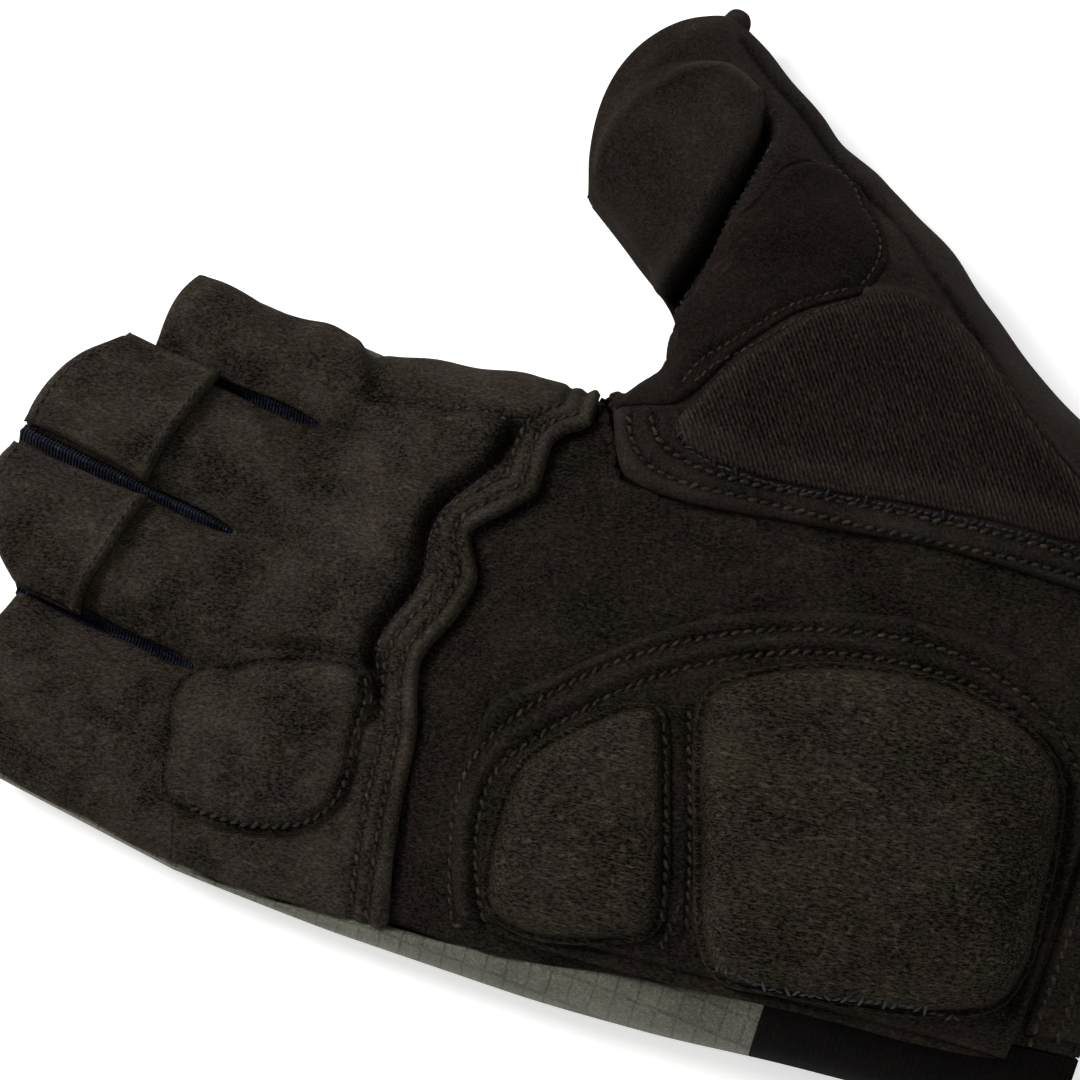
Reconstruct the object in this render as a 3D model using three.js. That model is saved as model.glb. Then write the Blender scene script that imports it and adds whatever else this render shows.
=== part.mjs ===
// A half-finger cycling glove for the right hand, lying on its back with the palm up.
// Millimetres. +X points to the thumb's side, +Y to the fingertips, +Z up out of the palm.
// The origin is on the surface that the glove lies on, under the middle of the hand.
import * as THREE from 'three';

// Overall sizes of the hand part
const palmLength = 137.5; // wrist hem to the crotch between middle and ring finger
const palmWidth = 85; // across the knuckles
const palmHeight = 23; // surface to the crown of the palm
const edgeHeight = 6.5; // surface to the widest line of the sides
const originShare = 0.582; // where the origin lies between wrist hem and crotch
const crookShare = 0.687; // where the crook of the thumb lies between them
const ulnarRound = 26; // how far in from the little finger's side the palm is rounded
const radialRound = 18; // how far in from the forefinger's side the palm is rounded
const backRound = 9; // radius of the turn from the sides to the flat back

// Fingers and thumb
const fingerLength = 34.5; // crotch to the tip of the middle finger
const fingerHeight = 16.5; // surface to the crown of a finger where it leaves the palm
const fingerDroop = 2.5; // how much lower a finger lies at its opening
const fingerEdge = 12.5; // surface to the edge of a finger's palm side
const fingerBackEdge = 2.5; // surface to the edge of a finger's back side
const slitWidth = 2.6; // widest part of the slit between two fingers
const crotchReach = 15; // how far into the palm the valley between two fingers runs
const thumbReach = 96.5; // origin to the outer corner of the thumb's opening
const thumbHeight = 26; // surface to the crown of the thumb's root

// Cloth
const suede = 1.6;
const backCloth = 1.2;
const gussetCloth = 1.1;
const cuffCloth = 1.6;
const overlayCloth = 1.1;
const clearance = 0.4; // between pieces that are sewn together
const overlayGap = 0.6; // between a piece sewn onto another and the piece below
const lap = 3; // how far the palm panel runs under its neighbours
const dipLength = 12; // over which the palm panel comes down to run under the finger panel

// Pads, tabs and trims
const heelPadHeight = 4.2;
const smallPadHeight = 3.4;
const fingerPadHeight = 2.6;
const padRim = 0.9; // thickness of a pad's stitched rim
const tabLength = 21; // pull tab, along the finger
const hemWidth = 8.5; // folded hem at the wrist
const cuffLength = 44; // elastic cuff behind the wrist
const seamEndRadius = 1.6; // rolled end of the thumb's side seam
const seamEndLength = 7;

// Sections of the palm, from the wrist hem to the crotches. along is a share of palmLength, ulnar and radial
// (the two sides) and flank (how much of the back wraps up) are shares of palmWidth, crown is a share of
// palmHeight, and drop is how far the thumb's side has come down to the edge.
const palmSections = [
  { along: 0.0, ulnar: -0.518, radial: 0.325, crown: 0.74, flank: 0.094, drop: 0 },
  { along: 0.145, ulnar: -0.559, radial: 0.304, crown: 0.93, flank: 0.102, drop: 0 },
  { along: 0.291, ulnar: -0.579, radial: 0.293, crown: 1.0, flank: 0.082, drop: 0 },
  { along: 0.436, ulnar: -0.602, radial: 0.259, crown: 1.0, flank: 0.068, drop: 0 },
  { along: 0.582, ulnar: -0.612, radial: 0.232, crown: 0.97, flank: 0.042, drop: 0 },
  { along: 0.63, ulnar: -0.612, radial: 0.247, crown: 0.955, flank: 0.036, drop: 0.08 },
  { along: 0.651, ulnar: -0.612, radial: 0.29, crown: 0.945, flank: 0.032, drop: 0.27 },
  { along: 0.669, ulnar: -0.612, radial: 0.35, crown: 0.935, flank: 0.03, drop: 0.6 },
  { along: 0.687, ulnar: -0.612, radial: 0.398, crown: 0.93, flank: 0.028, drop: 0.9 },
  { along: 0.705, ulnar: -0.612, radial: 0.41, crown: 0.92, flank: 0.025, drop: 1 },
  { along: 0.742, ulnar: -0.612, radial: 0.408, crown: 0.89, flank: 0.021, drop: 1 },
  { along: 0.873, ulnar: -0.605, radial: 0.374, crown: 0.79, flank: 0.009, drop: 1 },
  { along: 1.0, ulnar: -0.593, radial: 0.335, crown: 0.71, flank: 0.006, drop: 1 },
];

// The edge of the finger panel, a wave across the palm: across is a share of the way from the little
// finger's side to the thumb's side, along a share of palmLength.
const waveEdge = [
  { across: 0.0, along: 0.712 },
  { across: 0.197, along: 0.7345 },
  { across: 0.324, along: 0.7447 },
  { across: 0.405, along: 0.7607 },
  { across: 0.445, along: 0.7658 },
  { across: 0.543, along: 0.7447 },
  { across: 0.597, along: 0.7396 },
  { across: 0.677, along: 0.7607 },
  { across: 0.728, along: 0.733 },
  { across: 0.775, along: 0.7105 },
  { across: 0.855, along: 0.7135 },
  { across: 0.939, along: 0.683 },
  { across: 1.0, along: 0.685 },
];

// The line of the crotches, in the same shares.
const crotchLine = [
  { across: 0.0, along: 0.945 },
  { across: 0.342, along: 0.99 },
  { across: 0.6025, along: 1.0 },
  { across: 0.829, along: 0.952 },
  { across: 1.0, along: 0.92 },
];

// Fingers: from and to are their shares of the crotch line, the tips' corners are shares of palmWidth
// across and of fingerLength past the crotches, and crown is a share of fingerHeight. bulge, a share of
// fingerLength, rounds the opening. wraps marks a side that has no gusset.
const fingers = [
  { name: 'little', from: 0, to: 0.342, ulnarTip: [-0.543, 0.66], radialTip: [-0.242, 0.78], crown: 0.95,
    bulge: 0.13, wraps: 'ulnar' },
  { name: 'ring', from: 0.342, to: 0.6025, ulnarTip: [-0.219, 0.82], radialTip: [0.005, 1.0], crown: 1.0,
    bulge: 0.13, tabFrom: 0.46 },
  { name: 'middle', from: 0.6025, to: 0.829, ulnarTip: [0.036, 1.0], radialTip: [0.221, 0.77], crown: 1.0,
    bulge: 0.1, tabFrom: 0.42 },
  { name: 'index', from: 0.829, to: 1, ulnarTip: [0.235, 0.61], radialTip: [0.39, 0.535], crown: 0.95,
    bulge: 0.08, wraps: 'radial' },
];

// Sections of the thumb, from the wrist hem along the thenar side to the thumb's opening. at runs from hem
// to opening. closed is how far palm side and back side have met at the inner edge: until then that edge lies
// on the palm's seam at seamY, and from there on at innerX, seamY. X is in shares of palmWidth (outerX of
// thumbReach), Y in shares of palmLength from the hem, and crown is a share of thumbHeight.
const thumbSections = [
  { at: 0.0, innerX: 0.325, seamY: 0.0, outerX: 0.373, outerY: 0.0, crown: 0.77, closed: 0 },
  { at: 0.1, innerX: 0.304, seamY: 0.131, outerX: 0.482, outerY: 0.116, crown: 0.92, closed: 0 },
  { at: 0.22, innerX: 0.293, seamY: 0.276, outerX: 0.585, outerY: 0.24, crown: 1.0, closed: 0 },
  { at: 0.34, innerX: 0.268, seamY: 0.4, outerX: 0.674, outerY: 0.327, crown: 1.0, closed: 0 },
  { at: 0.45, innerX: 0.241, seamY: 0.524, outerX: 0.751, outerY: 0.393, crown: 0.98, closed: 0 },
  { at: 0.53, innerX: 0.232, seamY: 0.604, outerX: 0.793, outerY: 0.444, crown: 0.94, closed: 0 },
  { at: 0.57, innerX: 0.25, seamY: 0.64, outerX: 0.81, outerY: 0.47, crown: 0.91, closed: 0 },
  { at: 0.6, innerX: 0.35, seamY: 0.669, outerX: 0.825, outerY: 0.49, crown: 0.88, closed: 0 },
  { at: 0.63, innerX: 0.395, seamY: 0.684, outerX: 0.842, outerY: 0.515, crown: 0.84, closed: 0.2 },
  { at: 0.66, innerX: 0.43, seamY: 0.66, outerX: 0.856, outerY: 0.535, crown: 0.81, closed: 1 },
  { at: 0.72, innerX: 0.498, seamY: 0.638, outerX: 0.886, outerY: 0.564, crown: 0.78, closed: 1 },
  { at: 0.8, innerX: 0.579, seamY: 0.651, outerX: 0.922, outerY: 0.605, crown: 0.73, closed: 1 },
  { at: 0.9, innerX: 0.659, seamY: 0.705, outerX: 0.964, outerY: 0.646, crown: 0.68, closed: 1 },
  { at: 1.0, innerX: 0.741, seamY: 0.778, outerX: 1.0, outerY: 0.687, crown: 0.64, closed: 1 },
];
const thumbBulge = 0.05; // rounding of the thumb's opening, a share of palmLength

// Overlays on the thumb, in shares across it, each from low to high along thumbSections' at.
const thumbTipOverlay = [
  { across: 0.08, low: 0.81, high: 0.955 },
  { across: 0.35, low: 0.808, high: 0.965 },
  { across: 0.62, low: 0.806, high: 0.953 },
  { across: 0.76, low: 0.81, high: 0.92 },
  { across: 0.82, low: 0.83, high: 0.87 },
];
const thumbMiddleOverlay = [
  { across: 0.24, low: 0.67, high: 0.785 },
  { across: 0.3, low: 0.63, high: 0.79 },
  { across: 0.5, low: 0.56, high: 0.79 },
  { across: 0.68, low: 0.525, high: 0.785 },
  { across: 0.78, low: 0.54, high: 0.77 },
  { across: 0.84, low: 0.6, high: 0.69 },
];
const thumbBaseOverlay = [
  { across: 0.23, low: 0.08, high: 0.57 },
  { across: 0.25, low: 0.07, high: 0.595 },
  { across: 0.5, low: 0.075, high: 0.545 },
  { across: 0.7, low: 0.09, high: 0.51 },
  { across: 0.8, low: 0.15, high: 0.44 },
];

// The patch at the heel of the hand, in shares across the palm, each from low to high along palmLength, and
// the pads. Their outlines are corners in the same shares, joined by a smooth curve.
const heelOverlay = [
  { across: 0.075, low: 0.1, high: 0.655 },
  { across: 0.18, low: 0.067, high: 0.684 },
  { across: 0.29, low: 0.067, high: 0.698 },
  { across: 0.39, low: 0.067, high: 0.695 },
  { across: 0.49, low: 0.067, high: 0.669 },
  { across: 0.6, low: 0.067, high: 0.629 },
  { across: 0.7, low: 0.08, high: 0.575 },
  { across: 0.77, low: 0.115, high: 0.52 },
  { across: 0.815, low: 0.17, high: 0.455 },
  { across: 0.845, low: 0.235, high: 0.37 },
  { across: 0.856, low: 0.27, high: 0.32 },
];
const heelPadOutline = [
  [0.111, 0.372], [0.176, 0.407], [0.307, 0.434], [0.458, 0.462], [0.576, 0.4785], [0.642, 0.474], [0.691, 0.441],
  [0.729, 0.386], [0.747, 0.317], [0.751, 0.244], [0.727, 0.177], [0.679, 0.127], [0.608, 0.103], [0.511, 0.091],
  [0.39, 0.084], [0.27, 0.08], [0.18, 0.096], [0.14, 0.15], [0.118, 0.229], [0.108, 0.31],
];
const smallPadOutline = [
  [0.1, 0.575], [0.127, 0.62], [0.217, 0.636], [0.339, 0.6385], [0.421, 0.626], [0.51, 0.588], [0.572, 0.55],
  [0.582, 0.517], [0.536, 0.498], [0.424, 0.4785], [0.293, 0.455], [0.197, 0.443], [0.147, 0.457], [0.1125, 0.517],
];
const littlePadOutline = [
  [0.086, 0.961], [0.12, 0.982], [0.199, 0.995], [0.271, 1.004], [0.318, 0.998], [0.36, 0.969], [0.397, 0.906],
  [0.415, 0.857], [0.41, 0.8175], [0.367, 0.8], [0.296, 0.798], [0.23, 0.791], [0.17, 0.797], [0.12, 0.825],
  [0.092, 0.8735], [0.085, 0.9215],
];

const hemY = -originShare * palmLength;
const flankColumns = 2;
const flankGap = clearance / palmWidth;
const lapLift = suede + clearance;
const mitreLimit = 3; // how far a gusset's corner may reach, in wall distances
const { lerp, clamp, smoothstep } = THREE.MathUtils;

// Reads a table at a value of its first column, with a smooth curve that never overshoots the rows.
function readTable(rows, value) {
  const key = Object.keys(rows[0])[0];
  const last = rows.length - 1;
  const x = clamp(value, rows[0][key], rows[last][key]);
  let i = 0;
  while (i < last - 1 && x > rows[i + 1][key]) i += 1;
  const slope = (j, column) => (rows[j + 1][column] - rows[j][column]) / (rows[j + 1][key] - rows[j][key]);
  const tangent = (j, column) => {
    if (j === 0) return slope(0, column);
    if (j === last) return slope(last - 1, column);
    const before = slope(j - 1, column);
    const after = slope(j, column);
    return before * after <= 0 ? 0 : (2 * before * after) / (before + after);
  };
  const width = rows[i + 1][key] - rows[i][key];
  const u = (x - rows[i][key]) / width;
  const read = {};
  for (const column of Object.keys(rows[0])) {
    const rise = rows[i + 1][column] - rows[i][column];
    const start = tangent(i, column) * width;
    const end = tangent(i + 1, column) * width;
    read[column] = rows[i][column] + u * (start + u * (3 * rise - 2 * start - end + u * (start + end - 2 * rise)));
  }
  return read;
}

// How full a rounded edge is at a share u of its rounding: fullness 0.5 is a circle, 1 a parabola.
const rounded = (u, fullness) => (1 - (1 - clamp(u, 0, 1)) ** 2) ** fullness;

// Height between two edges: level in the middle, falling to each edge over its own rounding.
function arch(crown, edge0, share0, fullness0, edge1, share1, fullness1) {
  const fall0 = (crown - edge0) * (1 - rounded(share0, fullness0));
  const fall1 = (crown - edge1) * (1 - rounded(share1, fullness1));
  return crown - fall0 - fall1;
}

// A finger's height at a share s from crotch to opening and t across it, on its palm or back side.
function fingerZ(finger, s, t, side) {
  const ulnarOuter = finger.wraps === 'ulnar';
  const radialOuter = finger.wraps === 'radial';
  if (side === 'back') {
    const edge0 = ulnarOuter ? edgeHeight : fingerBackEdge;
    const edge1 = radialOuter ? edgeHeight : fingerBackEdge;
    return arch(0, edge0, t / 0.5, ulnarOuter ? 0.5 : 1, edge1, (1 - t) / 0.5, radialOuter ? 0.5 : 1);
  }
  const droop = fingerDroop * s;
  const edge0 = ulnarOuter ? edgeHeight : fingerEdge - droop;
  const edge1 = radialOuter ? edgeHeight : fingerEdge - droop;
  const crown = finger.crown * fingerHeight - droop;
  return arch(crown, edge0, t / 0.5, ulnarOuter ? 0.5 : 1, edge1, (1 - t) / 0.5, radialOuter ? 0.5 : 1);
}

// Where the palm ends on the thumb's side. On the back that seam runs straight from the hem to the crook.
function radialX(along, side) {
  if (side === 'palm' || along >= crookShare) return readTable(palmSections, along).radial * palmWidth;
  return lerp(radialX(0, 'palm'), radialX(crookShare, 'palm'), along / crookShare);
}

// A point of the palm at a share across it and along it, on its palm or back side.
function palmPoint(across, along, side) {
  const row = readTable(palmSections, along);
  const ulnarX = row.ulnar * palmWidth;
  const width = radialX(along, side) - ulnarX;
  const share0 = (across * width) / (side === 'palm' ? ulnarRound : backRound);
  const share1 = ((1 - across) * width) / (side === 'palm' ? radialRound : backRound);
  const crown = side === 'palm' ? row.crown * palmHeight : 0;
  const handZ = arch(crown, edgeHeight, share0, 0.5, lerp(crown, edgeHeight, row.drop), share1, 0.5);
  const finger = fingers.find((f) => across <= f.to) ?? fingers.at(-1);
  const t = (across - finger.from) / (finger.to - finger.from);
  const crotch = readTable(crotchLine, across).along;
  const blend = smoothstep(along, crotch - crotchReach / palmLength, crotch);
  const z = lerp(handZ, fingerZ(finger, 0, t, side), blend);
  return new THREE.Vector3(ulnarX + across * width, hemY + along * palmLength, z);
}

// The normal of a surface, which gives a point for a share along and a share across.
function normalAt(surface, s, t) {
  const step = 0.002;
  const alongWay = surface(s + step, t).sub(surface(s - step, t));
  const acrossWay = surface(s, t + step).sub(surface(s, t - step));
  return acrossWay.cross(alongWay).normalize();
}

// A point of a finger past the crotch line, at a share s towards its opening and t across it.
function fingerPoint(finger, s, t, side) {
  const across = lerp(finger.from, finger.to, t);
  const base = palmPoint(across, readTable(crotchLine, across).along, side);
  const corner = ([x, y]) => new THREE.Vector2(x * palmWidth, hemY + palmLength + y * fingerLength);
  const tip = corner(finger.ulnarTip).lerp(corner(finger.radialTip), t);
  const bulge = side === 'palm' ? finger.bulge * fingerLength * s ** 3 * 4 * t * (1 - t) : 0;
  const pinch = (slitWidth / 2) * (1 - s) * Math.sqrt(Math.min(1, s / 0.15)) * (1 - 2 * t);
  const free = (t < 0.5 && finger.wraps === 'ulnar') || (t > 0.5 && finger.wraps === 'radial');
  const x = lerp(base.x, tip.x, s) + (free ? 0 : pinch);
  return new THREE.Vector3(x, lerp(base.y, tip.y, s) + bulge, fingerZ(finger, s, t, side));
}

// Share across the palm at which the palm side starts: outside it the back's cloth wraps up.
function flankShare(along) {
  const row = readTable(palmSections, along);
  return row.flank / (row.radial - row.ulnar);
}

// A point of the thumb at a share from hem to opening and t across it from the inner to the outer side.
function thumbPoint(at, t, side) {
  const row = readTable(thumbSections, at);
  const free = row.innerX * palmWidth;
  const apart = side === 'back' ? clearance : 0;
  const innerX = lerp(radialX(row.seamY, side) + apart, free, row.closed);
  const outer = new THREE.Vector2(row.outerX * thumbReach, hemY + row.outerY * palmLength);
  const inner = new THREE.Vector2(innerX, hemY + row.seamY * palmLength);
  const width = outer.distanceTo(inner);
  const place = inner.clone().lerp(outer, t);
  const forward = outer.clone().sub(inner).normalize().rotateAround(new THREE.Vector2(), Math.PI / 2);
  if (side === 'palm') place.addScaledVector(forward, thumbBulge * palmLength * at ** 12 * 4 * t * (1 - t));
  const seamZ = palmPoint(1, row.seamY, side).z;
  if (side === 'back') {
    const edge0 = lerp(seamZ, edgeHeight, row.closed);
    const z = arch(0, edge0, (t * width) / backRound, 0.5, edgeHeight, ((1 - t) * width) / backRound, 0.5);
    return new THREE.Vector3(place.x, place.y, z);
  }
  const crown = row.crown * thumbHeight;
  const { drop } = readTable(palmSections, row.seamY);
  const edge0 = lerp(seamZ + lapLift * (1 - drop), edgeHeight, row.closed);
  const z = arch(crown, edge0, t / 0.45, lerp(1, 0.5, row.closed), edgeHeight, (1 - t) / 0.5, 0.5);
  return new THREE.Vector3(place.x, place.y, z);
}

// How far the palm panel dips, because its wavy edge runs under the finger panel.
function palmDip(across, along) {
  const past = (along - readTable(waveEdge, across).along) * palmLength;
  return lapLift * smoothstep(past, -dipLength, -clearance);
}

// Share across the palm at which the palm panel ends: under the thumb's panel, or beside it near the crook.
function palmEnd(along) {
  const row = readTable(palmSections, along);
  return 1 + (lap * (1 - row.drop) ** 60 - clearance) / ((row.radial - row.ulnar) * palmWidth);
}

// The quads of a surface: pointAt gives a point for shares of the way up and across.
function quadsOf(rows, columns, pointAt) {
  const grid = [];
  for (let i = 0; i <= rows; i += 1) {
    grid.push([]);
    for (let j = 0; j <= columns; j += 1) grid[i].push(pointAt(i / rows, j / columns));
  }
  const quads = [];
  for (let i = 0; i < rows; i += 1) {
    for (let j = 0; j < columns; j += 1) quads.push([grid[i][j], grid[i][j + 1], grid[i + 1][j + 1], grid[i + 1][j]]);
  }
  return quads;
}

const turned = (quads) => quads.map((quad) => [...quad].reverse());

// Closes a surface into a solid: under gives the point below each point from its normal, and the open
// edges are joined by a rim. Points that coincide are shared.
function sheetSolid(quads, under) {
  const points = [];
  const numbers = new Map();
  const numberOf = (p) => {
    const name = p.toArray().map((c) => c.toFixed(3)).join();
    if (!numbers.has(name)) numbers.set(name, points.push({ at: p, normal: new THREE.Vector3() }) - 1);
    return numbers.get(name);
  };
  const triangles = [];
  for (const quad of quads) {
    const [a, b, c, d] = quad.map(numberOf);
    for (const triangle of [[a, b, c], [a, c, d]]) if (new Set(triangle).size === 3) triangles.push(triangle);
  }
  const used = new Map();
  for (const [a, b, c] of triangles) {
    const face = new THREE.Triangle(points[a].at, points[b].at, points[c].at);
    const normal = face.getNormal(new THREE.Vector3()).multiplyScalar(face.getArea());
    for (const i of [a, b, c]) points[i].normal.add(normal);
    for (const [from, to] of [[a, b], [b, c], [c, a]]) used.set(`${from},${to}`, [from, to]);
  }
  const positions = points.flatMap((p) => p.at.toArray());
  for (const p of points) positions.push(...under(p.at, p.normal.normalize()).toArray());
  const below = points.length;
  const index = [];
  for (const [a, b, c] of triangles) index.push(a, b, c, a + below, c + below, b + below);
  for (const [from, to] of used.values()) {
    if (!used.has(`${to},${from}`)) index.push(to, from, from + below, to, from + below, to + below);
  }
  const geometry = new THREE.BufferGeometry();
  geometry.setAttribute('position', new THREE.Float32BufferAttribute(positions, 3));
  geometry.setIndex(index);
  return geometry;
}

const offset = (p, normal, distance) => p.clone().addScaledVector(normal, distance);

// The inner side of a sheet. A palm side ends level at the widest line, and a back side just below it.
const palmInside = (thickness) => (p, normal) => {
  const below = offset(p, normal, -thickness);
  return below.setZ(Math.max(below.z, edgeHeight));
};
const backInside = (thickness) => (p, normal) => {
  const above = offset(p, normal, -thickness);
  return p.z < edgeHeight ? above.setZ(Math.min(above.z, edgeHeight - clearance)) : above;
};

// The palm side of the hand between two lines across it, finger by finger so that the columns meet the
// crotches. end gives the share across it at which it stops on the thumb's side.
function palmSideQuads(rows, columns, low, high, end, dip) {
  return fingers.flatMap((finger) => quadsOf(rows, columns, (u, w) => {
    const way = end === palmEnd ? 1 - (1 - u) ** 1.5 : u;
    const alongAt = (across) => lerp(low(across), high(across), way);
    const start = finger.wraps === 'ulnar' ? flankShare(alongAt(0)) : finger.from;
    const stop = finger.wraps === 'radial' ? end(alongAt(1)) : finger.to;
    const across = lerp(start, stop, w);
    const along = alongAt(across);
    const normal = normalAt((s, t) => palmPoint(t, s, 'palm'), along, across);
    return offset(palmPoint(across, along, 'palm'), normal, -dip(across, along));
  }));
}

// Share across a finger at which its palm side starts.
function fingerStart(finger) {
  return finger.wraps === 'ulnar' ? flankShare(readTable(crotchLine, 0).along) / finger.to : 0;
}

// The palm panel runs under the finger panel, but only meets it where both turn down at the crook.
function palmPanel() {
  const lapAt = (across) => lerp(-2 * clearance, lap, smoothstep(1 - across, 0.07, 0.17));
  const high = (across) => readTable(waveEdge, across).along + lapAt(across) / palmLength;
  return sheetSolid(palmSideQuads(15, 5, () => 0, high, palmEnd, palmDip), palmInside(suede));
}

function fingerPanel() {
  const low = (across) => readTable(waveEdge, across).along;
  const high = (across) => readTable(crotchLine, across).along;
  const quads = palmSideQuads(6, 7, low, high, () => 1, () => 0);
  for (const finger of fingers) {
    const start = fingerStart(finger);
    quads.push(...quadsOf(6, 7, (u, w) => fingerPoint(finger, u, lerp(start, 1, w), 'palm')));
  }
  return sheetSolid(quads, palmInside(suede));
}

// The back of the hand between two lines: up the flank to the seam, round the side and under the hand.
function backQuads(rows, columns, low, high) {
  const flank = quadsOf(rows, flankColumns, (u, w) => {
    const along = lerp(low(0), high(0), u);
    return palmPoint((flankShare(along) - flankGap) * (1 - w), along, 'palm');
  });
  const under = fingers.flatMap((finger) => quadsOf(rows, columns, (u, w) => {
    const across = lerp(finger.from, finger.to, backShare(finger, w));
    return lowered(palmPoint(across, lerp(low(across), high(across), u), 'back'), across);
  }));
  return turned([...flank, ...under]);
}

// The back's columns lie closer together where it turns up to the little finger's side.
const backShare = (finger, w) => w ** (finger.wraps === 'ulnar' ? 1.6 : 1);

// Takes the back's edge on the thumb's side down, clear of the palm side's edge.
function lowered(point, across) {
  return across < 1 ? point : point.setZ(Math.min(point.z, edgeHeight - clearance));
}

function backPanel() {
  const high = (across) => readTable(crotchLine, across).along;
  const quads = backQuads(7, 5, () => cuffLength / palmLength, high);
  for (const finger of fingers) {
    quads.push(...turned(quadsOf(5, 5, (u, w) => {
      const t = backShare(finger, w);
      return lowered(fingerPoint(finger, u, t, 'back'), lerp(finger.from, finger.to, t));
    })));
  }
  const [little] = fingers;
  quads.push(...turned(quadsOf(5, flankColumns, (u, w) => {
    const t = fingerStart(little) - flankGap / little.to;
    return fingerPoint(little, u, t * (1 - w), 'palm');
  })));
  return sheetSolid(quads, backInside(backCloth));
}

function cuffBack() {
  const high = (cuffLength - clearance) / palmLength;
  return sheetSolid(backQuads(4, 4, () => 0, () => high), backInside(cuffCloth));
}

// Columns across the thumb lie closer together at its two sides.
const thumbShare = (w) => (1 - Math.cos(w * Math.PI)) / 2;

function thumbPanel() {
  return sheetSolid(quadsOf(24, 11, (u, w) => thumbPoint(u, thumbShare(w), 'palm')), palmInside(suede));
}

function thumbBack() {
  const quads = quadsOf(18, 8, (u, w) => {
    const point = thumbPoint(u, thumbShare(w), 'back');
    return point.setZ(Math.min(point.z, edgeHeight - clearance));
  });
  return sheetSolid(turned(quads), backInside(backCloth));
}

// The gusset between two fingers: a wall that runs down one, round the crotch and up the other.
function gusset(left, right) {
  const steps = 7;
  const plan = [];
  for (let i = steps; i > 0; i -= 1) plan.push(fingerPoint(left, i / steps, 1, 'palm'));
  for (let i = 0; i <= steps; i += 1) plan.push(fingerPoint(right, i / steps, 0, 'palm'));
  const final = plan.length - 1;
  const sideOf = (i) => new THREE.Vector3(plan[i].y - plan[i + 1].y, plan[i + 1].x - plan[i].x, 0).normalize();
  const outwardAt = (i) => {
    const side = sideOf(Math.min(i, final - 1));
    const middle = sideOf(Math.max(i - 1, 0)).add(side).normalize();
    return middle.multiplyScalar(Math.min(mitreLimit, 1 / middle.dot(side)));
  };
  const low = fingerBackEdge + backCloth + clearance;
  const wall = (distance) => quadsOf(1, final, (u, w) => {
    const i = Math.round(w * final);
    const high = plan[i].z - suede - clearance;
    return offset(plan[i], outwardAt(i), distance).setZ(lerp(low, high, u));
  });
  return slabSolid(wall(clearance - gussetCloth), wall(clearance));
}

// A solid between two surfaces with the same quads, the upper and the lower.
function slabSolid(tops, bases) {
  const nameOf = (p) => p.toArray().map((c) => c.toFixed(3)).join();
  const lower = bases.flat();
  const baseOf = new Map(tops.flat().map((p, i) => [nameOf(p), lower[i]]));
  return sheetSolid(tops, (p) => baseOf.get(nameOf(p)));
}

// A sheet laid over a surface, clear of it: surface gives a point for two shares, and the table its outline.
function overlaySolid(surface, rows, columns, outline, gap, thickness) {
  const first = outline[0].across;
  const final = outline.at(-1).across;
  const lifted = (distance) => quadsOf(rows, columns, (u, w) => {
    const across = lerp(first, final, w);
    const row = readTable(outline, across);
    const along = lerp(row.low, row.high, u);
    return offset(surface(along, across), normalAt(surface, along, across), distance);
  });
  return slabSolid(lifted(gap + thickness), lifted(gap));
}

function thumbOverlay(outline) {
  return overlaySolid((s, t) => thumbPoint(s, t, 'palm'), 8, 8, outline, overlayGap, overlayCloth);
}

function pullTab(finger) {
  const length = tabLength / fingerLength;
  const outline = [0.03, 0.5, 0.97].map((across) => ({
    across,
    low: finger.tabFrom + (0.97 - across) * 0.1,
    high: Math.min(finger.tabFrom + length, 0.99),
  }));
  return overlaySolid((s, t) => fingerPoint(finger, s, t, 'palm'), 4, 6, outline, overlayGap, overlayCloth);
}

const palmSurface = (s, t) => palmPoint(t, s, 'palm');

// A pad: its outline is a closed curve on the palm, and it rises in a dome from a thin stitched rim. gap is
// how far it lies over the palm.
function padSolid(outline, height, gap) {
  const corners = outline.map(([across, along]) => new THREE.Vector3(across, along, 0));
  const curve = new THREE.CatmullRomCurve3(corners, true);
  const centre = corners.reduce((sum, p) => sum.add(p), new THREE.Vector3()).divideScalar(corners.length);
  const rings = 5;
  const spokes = 28;
  const nameOf = (p) => p.toArray().map((c) => c.toFixed(3)).join();
  const seats = new Map();
  const quads = quadsOf(rings, spokes, (u, w) => {
    const place = centre.clone().lerp(curve.getPoint(w % 1), u);
    const normal = normalAt(palmSurface, place.y, place.x);
    const seat = offset(palmSurface(place.y, place.x), normal, gap);
    const top = offset(seat, normal, padRim + (height - padRim) * (1 - u ** 4));
    seats.set(nameOf(top), seat);
    return top;
  });
  return sheetSolid(quads, (p) => seats.get(nameOf(p)));
}

function heelPatch() {
  return overlaySolid(palmSurface, 10, 12, heelOverlay, overlayGap, overlayCloth);
}

function wristHem() {
  const outline = [0.14, 0.5, 0.93].map((across) => ({ across, low: 0.004, high: hemWidth / palmLength }));
  return overlaySolid(palmSurface, 2, 12, outline, overlayGap, overlayCloth);
}

// The end of the thumb's outer seam is a small roll that lies across it, just past the opening.
function seamEnd() {
  const start = thumbPoint(1, 1, 'palm');
  const way = start.clone().sub(thumbPoint(0.93, 1, 'palm')).setZ(0).normalize();
  const acrossWay = new THREE.Vector3(way.y, -way.x, 0);
  const geometry = new THREE.CapsuleGeometry(seamEndRadius, seamEndLength - 2 * seamEndRadius, 4, 10);
  geometry.applyQuaternion(new THREE.Quaternion().setFromUnitVectors(new THREE.Vector3(0, 1, 0), acrossWay));
  const middle = offset(start, way, seamEndRadius + clearance).addScaledVector(acrossWay, -seamEndLength / 4);
  geometry.translate(middle.x, middle.y, middle.z);
  return geometry;
}

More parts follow.
